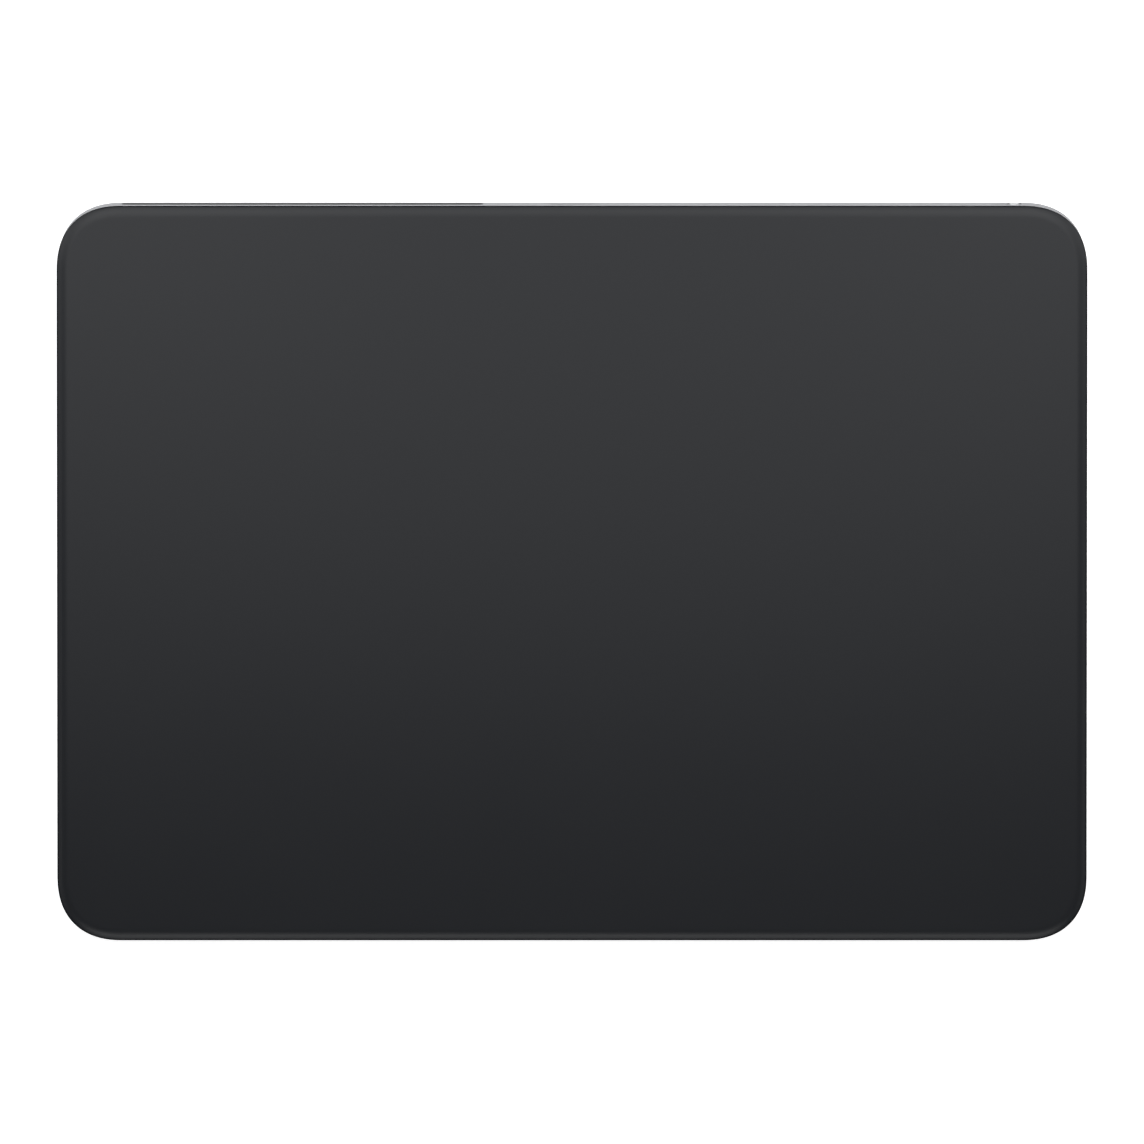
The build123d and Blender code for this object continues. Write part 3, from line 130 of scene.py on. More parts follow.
def block(name, left, right, front, rear, low, high):
    """A box between these sides in millimetres, as the start of a piece."""
    select_nothing()
    middle = Vector(((left + right) / 2, (front + rear) / 2, (low + high) / 2)) * MM
    size = (right - left, rear - front, high - low)
    bpy.ops.mesh.primitive_cube_add(size=MM, location=middle, scale=size)
    piece = bpy.context.object
    piece.name = piece.data.name = name
    bpy.ops.object.transform_apply(location=True, rotation=True, scale=True)
    return piece


def lay_on_slope(piece):
    """Carries a piece from the level drawing plane to the slope, with its place in its mesh."""
    alone(piece)
    piece.matrix_world = SLOPE
    bpy.ops.object.transform_apply(location=True, rotation=True, scale=True)


def cut(piece, cutter):
    """Takes the cutter's shape out of the piece and deletes the cutter."""
    alone(piece)
    boolean = piece.modifiers.new("cut", "BOOLEAN")
    boolean.operation, boolean.solver, boolean.object = "DIFFERENCE", "EXACT", cutter
    bpy.ops.object.modifier_apply(modifier=boolean.name)
    bpy.data.objects.remove(cutter)


def finish_piece(piece, degrees=30):
    """Smooth shading except over edges sharper than this."""
    alone(piece)
    bpy.ops.object.shade_smooth_by_angle(angle=math.radians(degrees))
    print(piece.name, "has", len(piece.data.polygons), "faces")


def upright(middle, direction):
    """True for an edge that stands up."""
    return abs(direction.z) > 0.99


def along_depth(middle, direction):
    """True for an edge that runs from front to rear."""
    return abs(direction.y) > 0.99


# %% [markdown]
# ## Cover glass
# The real sheet is 1 mm thick. Its corners are fuller than a plain arc, and its top edge rolls off
# over 1.8 mm. A box gets fuller corners from the bevel's profile value; small insets, each a little
# higher than the last, then follow the roll-off's arc, and one flat inset more keeps the big top
# face level. A subdivision surface could do the same, but it would pull in the outline.

# %% Cover glass
ROLL_STEPS, LEVEL_RING, LOWER_ARRIS = 14, 0.5, 0.08
glass = block("cover_glass_sheet", -WIDTH / 2, WIDTH / 2, -DEPTH / 2, DEPTH / 2, -GLASS, -EDGE_DROP)
pick(glass, "EDGE", upright)
bpy.ops.mesh.bevel(offset=CORNER_REACH * MM, segments=32, profile=CORNER_FULLNESS, affect="EDGES")
pick(glass, "FACE", lambda middle, normal: normal.z > 0.9)
roll = math.acos(1 - EDGE_DROP / EDGE_RADIUS)
for step in range(ROLL_STEPS, 0, -1):
    outer, inner = roll * step / ROLL_STEPS, roll * (step - 1) / ROLL_STEPS
    inward = EDGE_RADIUS * (math.sin(outer) - math.sin(inner)) * MM
    upward = EDGE_RADIUS * (math.cos(inner) - math.cos(outer)) * MM
    bpy.ops.mesh.inset(thickness=inward, depth=upward)
bpy.ops.mesh.inset(thickness=LEVEL_RING * MM, depth=0)
pick(glass, "EDGE", lambda middle, direction: middle.z < -GLASS + 0.01)
bpy.ops.mesh.bevel(offset=LOWER_ARRIS * MM, segments=2, affect="EDGES")
lay_on_slope(glass)
finish_piece(glass, 35)
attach(glass, "touch_plate")
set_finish(glass, "black_glass")
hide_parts("cover_glass")

# %% [markdown]
# ## Enclosure
# The real tray is milled from one block: a level floor, walls square to the glass, a small arris
# along the rim and a soft edge underneath. A block is bevelled on the drawing plane, laid on the
# slope and cut level at the bottom. The hollow, the feet's recesses and the openings of the rear
# wall are separate shapes taken out of it, as a milling cutter would.

# %% The tray's outside and its hollow


def tray_block(name, inset, low, high):
    """A block with the trackpad's outline, this far inside the glass."""
    half_x, half_y = WIDTH / 2 - inset, DEPTH / 2 - inset
    piece = block(name, -half_x, half_x, -half_y, half_y, low, high)
    pick(piece, "EDGE", upright)
    reach = (CORNER_REACH - inset) * MM
    bpy.ops.mesh.bevel(offset=reach, segments=32, profile=CORNER_FULLNESS, affect="EDGES")
    return piece


def cut_level(piece, height):
    """Cuts a piece off at this height over the desk and closes it."""
    alone(piece)
    bpy.ops.object.mode_set(mode="EDIT")
    bpy.ops.mesh.select_all(action="SELECT")
    plane = (0, 0, height * MM)
    bpy.ops.mesh.bisect(plane_co=plane, plane_no=(0, 0, 1), use_fill=True, clear_inner=True)


RIM_ARRIS, SOFT_EDGE = 0.15, 0.6
tray = tray_block("tray", BODY_INSET, -12.5, RIM)
pick(tray, "EDGE", lambda middle, direction: middle.z > RIM - 0.01)
bpy.ops.mesh.bevel(offset=RIM_ARRIS * MM, segments=3, affect="EDGES")
lay_on_slope(tray)
cut_level(tray, UNDERSIDE)
pick(tray, "EDGE", lambda middle, direction: middle.z < UNDERSIDE + 0.01)
bpy.ops.mesh.bevel(offset=SOFT_EDGE * MM, segments=6, affect="EDGES")
hollow = tray_block("hollow", BODY_INSET + WALL, -14, 1)
lay_on_slope(hollow)
cut_level(hollow, FLOOR_TOP)
cut(tray, hollow)
print("tray faces after hollowing:", len(tray.data.polygons))

# %% [markdown]
# ## Openings in the rear wall
# The port's mouth and the switch's slot have round ends and a fine countersink, which catches the
# light. Each cutter is a box with rounded long edges, whose rear end is drawn out and widened.

# %% Openings in the rear wall


def opening(name, x, height, width, tall, corner, front, rear, flare=0.0):
    """A cutter along the depth with rounded corners, widened by the flare at the rear face."""
    sides, levels = (x - width / 2, x + width / 2), (height - tall / 2, height + tall / 2)
    piece = block(name, *sides, front, rear - flare, *levels)
    pick(piece, "EDGE", along_depth)
    bpy.ops.mesh.bevel(offset=corner * MM, segments=12, affect="EDGES")
    if flare:
        pick(piece, "FACE", lambda middle, normal: normal.y > 0.9)
        bpy.ops.mesh.extrude_region_move(TRANSFORM_OT_translate={"value": (0, flare * MM, 0)})
        growth = (1 + 2 * flare / width, 1, 1 + 2 * flare / tall)
        bpy.ops.transform.resize(value=growth, center_override=(x * MM, rear * MM, height * MM))
        bpy.ops.mesh.extrude_region_move(TRANSFORM_OT_translate={"value": (0, MM, 0)})
    lay_on_slope(piece)
    return piece


INSIDE = 54.5
SLOT_X, KNOB_X = 67.604, 68.704
WINDOW_LEFT, WINDOW_RIGHT, WINDOW_LOW, WINDOW_HIGH = -69.904, -13.87, -9.199, -3.999
WINDOW_GAP = 0.03
SEAT_END, POCKET_END = 56.45, 56.15
cut(tray, opening("seat", 0, REAR_MIDDLE, 9.14, 3.36, 1.67, INSIDE, SEAT_END))
cut(tray, opening("mouth", 0, REAR_MIDDLE, 8.46, 2.68, 1.335, INSIDE, REAR_FACE, 0.2))
cut(tray, opening("pocket", SLOT_X, REAR_MIDDLE, 10.4, 3.4, 0.3, INSIDE, POCKET_END))
cut(tray, opening("slot", SLOT_X, REAR_MIDDLE, 4.6, 1.7, 0.845, INSIDE, REAR_FACE, 0.08))
window_x, window_height = (WINDOW_LEFT + WINDOW_RIGHT) / 2, (WINDOW_LOW + WINDOW_HIGH) / 2
wide, tall = WINDOW_RIGHT - WINDOW_LEFT + 2 * WINDOW_GAP, WINDOW_HIGH - WINDOW_LOW + 2 * WINDOW_GAP
gate = opening("gate", window_x, window_height, wide, tall, 1.23, INSIDE, REAR_FACE, WINDOW_GAP)
cut(tray, gate)
print("tray faces after the openings:", len(tray.data.polygons))

# %% [markdown]
# ## Feet and their recesses
# Each foot is a round rubber disc glued in a shallow recess, with a soft rim and a slightly hollow
# sole. A cylinder gets the rim from a bevel and the sole from two insets. It is made once and then
# copied.

# %% Feet and their recesses
FOOT_X, FOOT_REAR, FOOT_FRONT = 66.0, 42.8871, -43.3905
FOOT_RADIUS, FOOT_TOP, RECESS_RADIUS = 5.0, 0.95, 5.1
FOOT_RIM, SOLE_RING, SOLE_STEP, SOLE_HOLLOW = 0.25, 0.9, 0.15, 0.05
foot_spots = {
    "front_left": (-FOOT_X, FOOT_FRONT),
    "front_right": (FOOT_X, FOOT_FRONT),
    "rear_left": (-FOOT_X, FOOT_REAR),
    "rear_right": (FOOT_X, FOOT_REAR),
}


def disc(name, x, y, radius, low, high, sides=64):
    """An upright cylinder in millimetres, as the start of a round piece."""
    select_nothing()
    place = (x * MM, y * MM, (low + high) / 2 * MM)
    bpy.ops.mesh.primitive_cylinder_add(
        vertices=sides, radius=radius * MM, depth=(high - low) * MM, location=place
    )
    piece = bpy.context.object
    piece.name = piece.data.name = name
    bpy.ops.object.transform_apply(location=True, rotation=True, scale=True)
    return piece


first_foot = disc("foot_pad", 0, 0, FOOT_RADIUS, 0, FOOT_TOP)
pick(first_foot, "EDGE", lambda middle, direction: middle.z < 0.01)
bpy.ops.mesh.bevel(offset=FOOT_RIM * MM, segments=5, affect="EDGES")
pick(first_foot, "FACE", lambda middle, normal: normal.z < -0.99)
bpy.ops.mesh.inset(thickness=SOLE_RING * MM, depth=0)
bpy.ops.mesh.inset(thickness=SOLE_STEP * MM, depth=-SOLE_HOLLOW * MM)
finish_piece(first_foot)
for corner, (x, y) in foot_spots.items():
    cut(tray, disc("recess", x, y, RECESS_RADIUS, -1, FOOT_TOP))
    foot = first_foot.copy()
    foot.data = first_foot.data.copy()
    foot.name = foot.data.name = "foot_pad_" + corner
    bpy.context.scene.collection.objects.link(foot)
    foot.data.transform(Matrix.Translation((x * MM, y * MM, 0)))
    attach(foot, "chassis")
    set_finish(foot, "foot_rubber")
    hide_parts("foot_" + corner)
bpy.data.objects.remove(first_foot)

# %% [markdown]
# ## Screw bosses
# Inside the tray, short posts carry the sensors, the boards and the haptic engine. Each is a
# cylinder whose top is inset and pushed down into a blind hole. Most stand square to the glass.

# %% Screw bosses
sine, cosine = math.sin(slope_angle), math.cos(slope_angle)
SENSOR_X, SENSOR_Y, SENSOR_STEP, SENSOR_SEAT = 66.0, 43.2, 8.6, -3.2
ENGINE_X, ENGINE_Y, ENGINE_STEP, ENGINE_SEAT = 7.6, 10.15, 18.75, -5.7245
WALL_SPOTS = [
    (-7.2, 51.5, -8.0545),
    (7.2, 51.5, -8.0545),
    (62.304, 51.95, -7.1745),
    (72.904, 51.95, -7.1745),
]
BOARD_SPOTS = [(-24.8, 43.134), (50.8, 35.051), (13.2, 51.02), (48.6, 51.02)]
BOSS_RADIUS, BOSS_RIM, BOSS_HOLE, BOARD_SEAT, BOSS_SUNK = 1.4, 0.85, 0.9, 3.5, 0.3
boss_spots = [
    (side * (SENSOR_X + step), end * SENSOR_Y, SENSOR_SEAT)
    for side in (-1, 1)
    for end in (-1, 1)
    for step in (-SENSOR_STEP, SENSOR_STEP)
]
boss_spots += [
    (i * ENGINE_X, ENGINE_Y + j * ENGINE_STEP, ENGINE_SEAT) for i in (-1, 1) for j in (-1, 1)
]
boss_spots += WALL_SPOTS


def boss(x, y, low, high):
    """A post with a blind hole in its top."""
    post = disc("boss", x, y, BOSS_RADIUS, low, high, sides=24)
    pick(post, "FACE", lambda middle, normal: normal.z > 0.99)
    bpy.ops.mesh.inset(thickness=BOSS_RIM * MM, depth=0)
    bpy.ops.mesh.extrude_region_move(TRANSFORM_OT_translate={"value": (0, 0, -BOSS_HOLE * MM)})
    return post


posts = []
for x, along, top in boss_spots:
    foot_of_post = (FLOOR_TOP - BOSS_SUNK - MIDDLE_HEIGHT - along * sine) / cosine
    post = boss(x, along, foot_of_post, top)
    lay_on_slope(post)
    posts.append(post)
posts += [boss(x, y, FLOOR_TOP - BOSS_SUNK, BOARD_SEAT) for x, y in BOARD_SPOTS]
alone(tray)
for post in posts:
    post.select_set(True)
bpy.ops.object.join()
finish_piece(tray)
tray.name = tray.data.name = "tray_shell"
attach(tray, "chassis")
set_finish(tray, "bead_blasted_aluminium")
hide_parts("enclosure")

# %% [markdown]
# ## Port sleeve
# The drawn steel sleeve of the port has a rolled lip where the plug enters. A box with fully
# rounded long edges loses its two ends, gets its sheet thickness from Solidify and its lip from
# Bevel.

# %% Port sleeve
SLEEVE_X, SLEEVE_Z, SLEEVE_FRONT, SLEEVE_REAR = 4.47, 1.58, 49.45, SEAT_END
SLEEVE_ROUND, SLEEVE_SHEET, SLEEVE_LIP = 1.575, 0.3, 0.1
low, high = REAR_MIDDLE - SLEEVE_Z, REAR_MIDDLE + SLEEVE_Z
sleeve = block("port_sleeve", -SLEEVE_X, SLEEVE_X, SLEEVE_FRONT, SLEEVE_REAR, low, high)
pick(sleeve, "EDGE", along_depth)
bpy.ops.mesh.bevel(offset=SLEEVE_ROUND * MM, segments=16, affect="EDGES")
pick(sleeve, "FACE", lambda middle, normal: abs(normal.y) > 0.9)
bpy.ops.mesh.delete(type="FACE")
alone(sleeve)
sheet = sleeve.modifiers.new("sheet", "SOLIDIFY")
sheet.thickness, sheet.offset = SLEEVE_SHEET * MM, -1
lip = sleeve.modifiers.new("lip", "BEVEL")
lip.width, lip.segments, lip.angle_limit = SLEEVE_LIP * MM, 3, math.radians(60)
for modifier in ("sheet", "lip"):
    bpy.ops.object.modifier_apply(modifier=modifier)
lay_on_slope(sleeve)
finish_piece(sleeve)
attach(sleeve, "chassis")
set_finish(sleeve, "shell_steel")
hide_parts("port_shell")

# %% [markdown]
# ## Antenna window
# A strip of satin plastic lies flush with the aluminium. Its fine rounded edge makes a thin dark
# line around it, and glue holds a wider flange behind the wall. Two bevelled boxes are joined here.
# One box could be inset and drawn out instead, but the flange is cut level at the tray's floor.

# %% Antenna window
STRIP_ROUND, STRIP_ARRIS, WALL_INSIDE, FLANGE_FRONT, FLANGE_LEFT = 1.2, 0.07, 55.55, 54.95, -69.75
across = (WINDOW_LEFT, WINDOW_RIGHT)
strip = block("antenna_strip", *across, WALL_INSIDE, REAR_FACE, WINDOW_LOW, WINDOW_HIGH)
pick(strip, "EDGE", along_depth)
bpy.ops.mesh.bevel(offset=STRIP_ROUND * MM, segments=12, affect="EDGES")
pick(strip, "EDGE", lambda middle, direction: middle.y > REAR_FACE - 0.001)
bpy.ops.mesh.bevel(offset=STRIP_ARRIS * MM, segments=3, affect="EDGES")
lay_on_slope(strip)
across = (FLANGE_LEFT, WINDOW_RIGHT + 1)
low, high = WINDOW_LOW - 0.4, WINDOW_HIGH + 1
flange = block("flange", *across, FLANGE_FRONT, WALL_INSIDE, low, high)
pick(flange, "EDGE", along_depth)
bpy.ops.mesh.bevel(offset=1 * MM, segments=6, affect="EDGES")
lay_on_slope(flange)
cut_level(flange, FLOOR_TOP)
alone(strip)
flange.select_set(True)
bpy.ops.object.join()
finish_piece(strip)
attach(strip, "chassis")
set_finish(strip, "antenna_plastic")
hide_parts("antenna_window")

# %% [markdown]
# ## Slider of the power switch
# The knob and its backing plate are one piece of polished aluminium. The knob is a stub with round
# ends and a hollow face, so that its two tips stand proud of the wall and catch a fingernail. The
# hollow is cut with a wide cylinder, and a fine Bevel follows every sharp edge of the result.

# %% Slider of the power switch
KNOB_FACE, KNOB_ROOT, DISH, DISH_RADIUS, KNOB_ARRIS = REAR_FACE + 0.15, 55.8, 0.12, 2.0, 0.05
KNOB_REACH, KNOB_HALF, BACK_HALF, PRONG_HALF = 1.1, 0.75, 1.4, 0.5
BACK_LEFT, BACK_RIGHT, BACK_FRONT, BACK_REAR = 64.904, 72.504, 55.6, 56.1
PRONG_STEP, PRONG_WIDTH, PRONG_END = 1.0, 0.7, 53.4
left, right = KNOB_X - KNOB_REACH, KNOB_X + KNOB_REACH
low, high = REAR_MIDDLE - KNOB_HALF, REAR_MIDDLE + KNOB_HALF
knob = block("slider_knob", left, right, KNOB_ROOT, KNOB_FACE, low, high)
pick(knob, "EDGE", along_depth)
bpy.ops.mesh.bevel(offset=(KNOB_HALF - 0.005) * MM, segments=16, affect="EDGES")
dish_y = KNOB_FACE + DISH_RADIUS - DISH
cut(knob, disc("dish", KNOB_X, dish_y, DISH_RADIUS, REAR_MIDDLE - 1, REAR_MIDDLE + 1, sides=128))
arris = knob.modifiers.new("arris", "BEVEL")
arris.width, arris.segments, arris.angle_limit = KNOB_ARRIS * MM, 3, math.radians(50)
bpy.ops.object.modifier_apply(modifier=arris.name)
low, high = REAR_MIDDLE - BACK_HALF, REAR_MIDDLE + BACK_HALF
backing = block("backing", BACK_LEFT, BACK_RIGHT, BACK_FRONT, BACK_REAR, low, high)
pick(backing, "EDGE", along_depth)
bpy.ops.mesh.bevel(offset=0.3 * MM, segments=4, affect="EDGES")
prongs = []
low, high = REAR_MIDDLE - PRONG_HALF, REAR_MIDDLE + PRONG_HALF
for side in (-1, 1):
    left = KNOB_X + side * PRONG_STEP - PRONG_WIDTH / 2
    prongs.append(block("prong", left, left + PRONG_WIDTH, PRONG_END, BACK_FRONT + 0.1, low, high))
alone(knob)
for piece in [backing, *prongs]:
    piece.select_set(True)
bpy.ops.object.join()
lay_on_slope(knob)
finish_piece(knob)
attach(knob, "power_switch")
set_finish(knob, "slider_metal")
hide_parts("power_slider")

# %% [markdown]
# ## Skins
# Three effects are shared by many materials, so each is a node group with named inputs. A group
# gives a colour, a roughness and a height, and the material passes them to its own shader. These
# helpers make an empty group and the few kinds of node that the groups use again and again.

# %% Helpers for node groups


def new_group(name, inputs, outputs):
    """An empty node group with these sockets; inputs are name, kind and starting value."""
    group = bpy.data.node_groups.new(name, "ShaderNodeTree")
    make = group.interface.new_socket
    for label, kind, value in inputs:
        socket = make(name=label, in_out="INPUT", socket_type="NodeSocket" + kind)
        socket.default_value = value
    for label, kind in outputs:
        make(name=label, in_out="OUTPUT", socket_type="NodeSocket" + kind)
    return group, group.nodes.new("NodeGroupInput"), group.nodes.new("NodeGroupOutput")


def maths(group, operation, first, second):
    """A Math node between two sockets or numbers."""
    node = group.nodes.new("ShaderNodeMath")
    node.operation = operation
    for slot, value in zip(node.inputs, (first, second)):
        if isinstance(value, (int, float)):
            slot.default_value = value
        else:
            group.links.new(value, slot)
    return node.outputs[0]


def mixed(group, amount, first, second):
    """A colour mix of two colour sockets."""
    node = group.nodes.new("ShaderNodeMix")
    node.data_type = "RGBA"
    group.links.new(amount, node.inputs["Factor"])
    group.links.new(first, node.inputs["A"])
    group.links.new(second, node.inputs["B"])
    return node.outputs["Result"]


def noise(group, scale, detail):
    """Noise on the object's own coordinates; the scale is a number or a socket."""
    place = group.nodes.new("ShaderNodeTexCoord")
    node = group.nodes.new("ShaderNodeTexNoise")
    node.inputs["Detail"].default_value = detail
    group.links.new(place.outputs["Object"], node.inputs["Vector"])
    if isinstance(scale, (int, float)):
        node.inputs["Scale"].default_value = scale
    else:
        group.links.new(scale, node.inputs["Scale"])
    return node.outputs["Fac"]


RESULTS = [("Color", "Color"), ("Roughness", "Float"), ("Height", "Float")]

# %% [markdown]
# ### Fine skin
# Blasted metal, moulded plastic, rubber and cast gel all have a colour that wanders a little over a
# fine grain. Two noises of very different size give both, where a photo of the surface could too,
# but would repeat.

# %% Fine skin
skin, given, made = new_group(
    "fine_skin",
    [
        ("Light", "Color", (0.5, 0.5, 0.5, 1)),
        ("Dark", "Color", (0.4, 0.4, 0.4, 1)),
        ("Grain", "Float", 8000.0),
        ("Patches", "Float", 60.0),
        ("Roughness", "Float", 0.5),
        ("Spread", "Float", 0.1),
    ],
    RESULTS,
)
grain = noise(skin, given.outputs["Grain"], 2)
patches = noise(skin, given.outputs["Patches"], 3)
fine, broad = maths(skin, "MULTIPLY", grain, 0.6), maths(skin, "MULTIPLY", patches, 0.4)
both = maths(skin, "ADD", fine, broad)
shade = mixed(skin, both, given.outputs["Dark"], given.outputs["Light"])
skin.links.new(shade, made.inputs["Color"])
swing = maths(skin, "MULTIPLY", maths(skin, "SUBTRACT", patches, 0.5), given.outputs["Spread"])
skin.links.new(maths(skin, "ADD", given.outputs["Roughness"], swing), made.inputs["Roughness"])
skin.links.new(grain, made.inputs["Height"])
print("fine_skin nodes:", len(skin.nodes))

# %% [markdown]
# ### Drawn lines
# Rolled sheet, stacked laminations and coil windings show thin parallel lines. A sine of one
# coordinate, divided by the pitch, is lighter to compute than a wave texture and keeps its pitch in
# metres.

# %% Drawn lines
lines, given, made = new_group(
    "drawn_lines",
    [
        ("Vector", "Vector", (0, 0, 0)),
        ("Light", "Color", (0.5, 0.5, 0.5, 1)),
        ("Dark", "Color", (0.3, 0.3, 0.3, 1)),
        ("Pitch", "Float", 0.0002),
        ("Roughness", "Float", 0.4),
    ],
    RESULTS,
)
apart = lines.nodes.new("ShaderNodeSeparateXYZ")
lines.links.new(given.outputs["Vector"], apart.inputs[0])
turns = maths(lines, "DIVIDE", apart.outputs["X"], given.outputs["Pitch"])
wave = maths(lines, "SINE", maths(lines, "MULTIPLY", turns, 2 * math.pi), 0)
crest = maths(lines, "ADD", maths(lines, "MULTIPLY", wave, 0.5), 0.5)
shade = mixed(lines, crest, given.outputs["Dark"], given.outputs["Light"])
lines.links.new(shade, made.inputs["Color"])
rub = maths(lines, "MULTIPLY", maths(lines, "SUBTRACT", noise(lines, 900, 3), 0.5), 0.25)
lines.links.new(maths(lines, "ADD", given.outputs["Roughness"], rub), made.inputs["Roughness"])
lines.links.new(crest, made.inputs["Height"])
print("drawn_lines nodes:", len(lines.nodes))

# %% [markdown]
# ### Board print
# The copper of a circuit board shows through its varnish as a fine pattern of square tracks. A
# Voronoi texture with the square distance gives cells, and their distance, folded into a band,
# gives the tracks.

# %% Board print
printed, given, made = new_group(
    "board_print",
    [
        ("Varnish", "Color", (0.02, 0.06, 0.03, 1)),
        ("Copper", "Color", (0.04, 0.12, 0.06, 1)),
        ("Cell", "Float", 900.0),
        ("Roughness", "Float", 0.35),
    ],
    RESULTS,
)
place = printed.nodes.new("ShaderNodeTexCoord")
tracks = printed.nodes.new("ShaderNodeTexVoronoi")
tracks.feature, tracks.distance = "F1", "CHEBYCHEV"
printed.links.new(place.outputs["Object"], tracks.inputs["Vector"])
printed.links.new(given.outputs["Cell"], tracks.inputs["Scale"])
band = maths(printed, "PINGPONG", tracks.outputs["Distance"], 0.16)
trace = maths(printed, "GREATER_THAN", band, 0.09)
shade = mixed(printed, trace, given.outputs["Varnish"], given.outputs["Copper"])
printed.links.new(shade, made.inputs["Color"])
worn = maths(printed, "MULTIPLY", trace, 0.08)
rub = maths(printed, "ADD", given.outputs["Roughness"], worn)
printed.links.new(rub, made.inputs["Roughness"])
printed.links.new(trace, made.inputs["Height"])
print("node groups:", [group.name for group in bpy.data.node_groups])

# %% [markdown]
# ## Materials
# One material per finish. Numbers that are the same all over, such as metallic or coat, are set on
# the shader itself, and only what changes over the surface comes from a group.

# %% A material from a group


def colour(value):
    """Red, green and blue from 0 to 1, with an alpha of 1."""
    return (*value, 1)


def material(name, group, values, metallic=0.0, bump=0.2, depth=0.00002, **shader_values):
    """A Principled material fed by one of the groups."""
    made = bpy.data.materials.new(name)
    made.use_nodes = True
    tree = made.node_tree
    shader = tree.nodes["Principled BSDF"]
    shader.inputs["Metallic"].default_value = metallic
    for label, value in shader_values.items():
        shader.inputs[label.replace("_", " ").title().replace("Ior", "IOR")].default_value = value
    effect = tree.nodes.new("ShaderNodeGroup")
    effect.node_tree = group
    for label, value in values.items():
        effect.inputs[label].default_value = value
    height = tree.nodes.new("ShaderNodeBump")
    height.inputs["Strength"].default_value = bump
    height.inputs["Distance"].default_value = depth
    tree.links.new(effect.outputs["Color"], shader.inputs["Base Color"])
    tree.links.new(effect.outputs["Roughness"], shader.inputs["Roughness"])
    tree.links.new(effect.outputs["Height"], height.inputs["Height"])
    tree.links.new(height.outputs["Normal"], shader.inputs["Normal"])
    return made, tree, effect


def skin_material(name, light, dark, grain, rough, spread=0.1, **more):
    """A material with the fine_skin effect."""
    values = {"Light": colour(light), "Dark": colour(dark), "Grain": grain, "Roughness": rough}
    return material(name, skin, {**values, "Spread": spread}, **more)


def lined_material(name, light, dark, pitch, rough, along, **more):
    """A material with thin lines that follow each other along X, Y or Z."""
    values = {"Light": colour(light), "Dark": colour(dark), "Pitch": pitch, "Roughness": rough}
    made, tree, effect = material(name, lines, values, **more)
    place = tree.nodes.new("ShaderNodeTexCoord")
    turn = tree.nodes.new("ShaderNodeMapping")
    quarter = math.pi / 2
    turns = {"X": (0, 0, 0), "Y": (0, 0, -quarter), "Z": (0, quarter, 0)}
    turn.inputs["Rotation"].default_value = turns[along]
    tree.links.new(place.outputs["Object"], turn.inputs["Vector"])
    tree.links.new(turn.outputs["Vector"], effect.inputs["Vector"])
    return made, tree, effect


def board_material(name, varnish, copper, cell, rough):
    """A varnished circuit board."""
    values = {"Varnish": colour(varnish), "Copper": colour(copper), "Cell": cell}
    return material(name, printed, {**values, "Roughness": rough}, bump=0.3)


# %% [markdown]
# ### Finishes that show
# The glass is etched to a satin, so it keeps a broad soft gloss over a nearly black backing. The
# aluminium is blasted with fine beads and anodised: a metal with high roughness and a fine grain.

# %% Finishes that show
finishes = {}


def keep(slot_name, result):
    """Files a material under its slot."""
    finishes[slot_name] = result[0]
    return result


_, glass_tree, glass_effect = keep("black_glass", skin_material(
    "satin_black_glass", (0.0037, 0.0050, 0.0076), (0.0030, 0.0042, 0.0068), 6000.0, 0.38, 0.03,
    bump=0.03, depth=0.000002, specular_ior_level=0.42,
))
keep("bead_blasted_aluminium", skin_material(
    "blasted_aluminium", (0.47, 0.475, 0.49), (0.41, 0.415, 0.43), 9000.0, 0.5, 0.06,
    metallic=0.85, bump=0.25, depth=0.000006, specular_tint=(0.45, 0.45, 0.46, 1),
))
keep("antenna_plastic", skin_material(
    "antenna_satin_plastic", (0.080, 0.082, 0.085), (0.070, 0.072, 0.075), 7000.0, 0.72, 0.08,
    bump=0.15, depth=0.000006, specular_ior_level=0.1,
))
keep("foot_rubber", skin_material(
    "foot_grey_rubber", (0.12, 0.12, 0.125), (0.09, 0.09, 0.094), 5000.0, 0.75, 0.1,
    bump=0.35, depth=0.00002, specular_ior_level=0.35,
))
keep("shell_steel", lined_material(
    "drawn_sleeve_steel", (0.36, 0.36, 0.37), (0.31, 0.31, 0.32), 0.00006, 0.32, "X", metallic=1.0,
    bump=0.05, depth=0.000003,
))
keep("connector_plastic", skin_material(
    "moulded_black_plastic", (0.03, 0.03, 0.032), (0.022, 0.022, 0.024), 4000.0, 0.5,
    bump=0.1, depth=0.00001,
))
keep("gold_contacts", skin_material(
    "gold_flash", (0.86, 0.6, 0.24), (0.74, 0.5, 0.19), 5000.0, 0.25,
    metallic=1.0, bump=0.03, depth=0.00001,
))
print("finishes so far:", list(finishes))

# %% [markdown]
# ### Finish of the slider
# The slider is polished. Its two tips carry painted shade: a darker colour that stands for the shading of
# their rounded ends. Beside the knob it carries a green patch that shows in the slot when the switch is
# on. Both are masks made from the distance along X.

# %% Finish of the slider
# Painted shade on the knob's tips starts this far from its middle and darkens fully over this width.
TIP_SHADE_START, TIP_SHADE_FADE, STUB_END, PATCH_START, METAL_SHARE = 0.55, 0.3, 1.12, 1.15, 0.85
_, tree, effect = keep("slider_metal", skin_material(
    "slider_aluminium", (0.64, 0.645, 0.655), (0.60, 0.605, 0.615), 9000.0, 0.24, 0.06,
    metallic=METAL_SHARE, bump=0.2, depth=0.000006,
))
shader = tree.nodes["Principled BSDF"]
place = tree.nodes.new("ShaderNodeTexCoord")
apart = tree.nodes.new("ShaderNodeSeparateXYZ")
tree.links.new(place.outputs["Object"], apart.inputs[0])
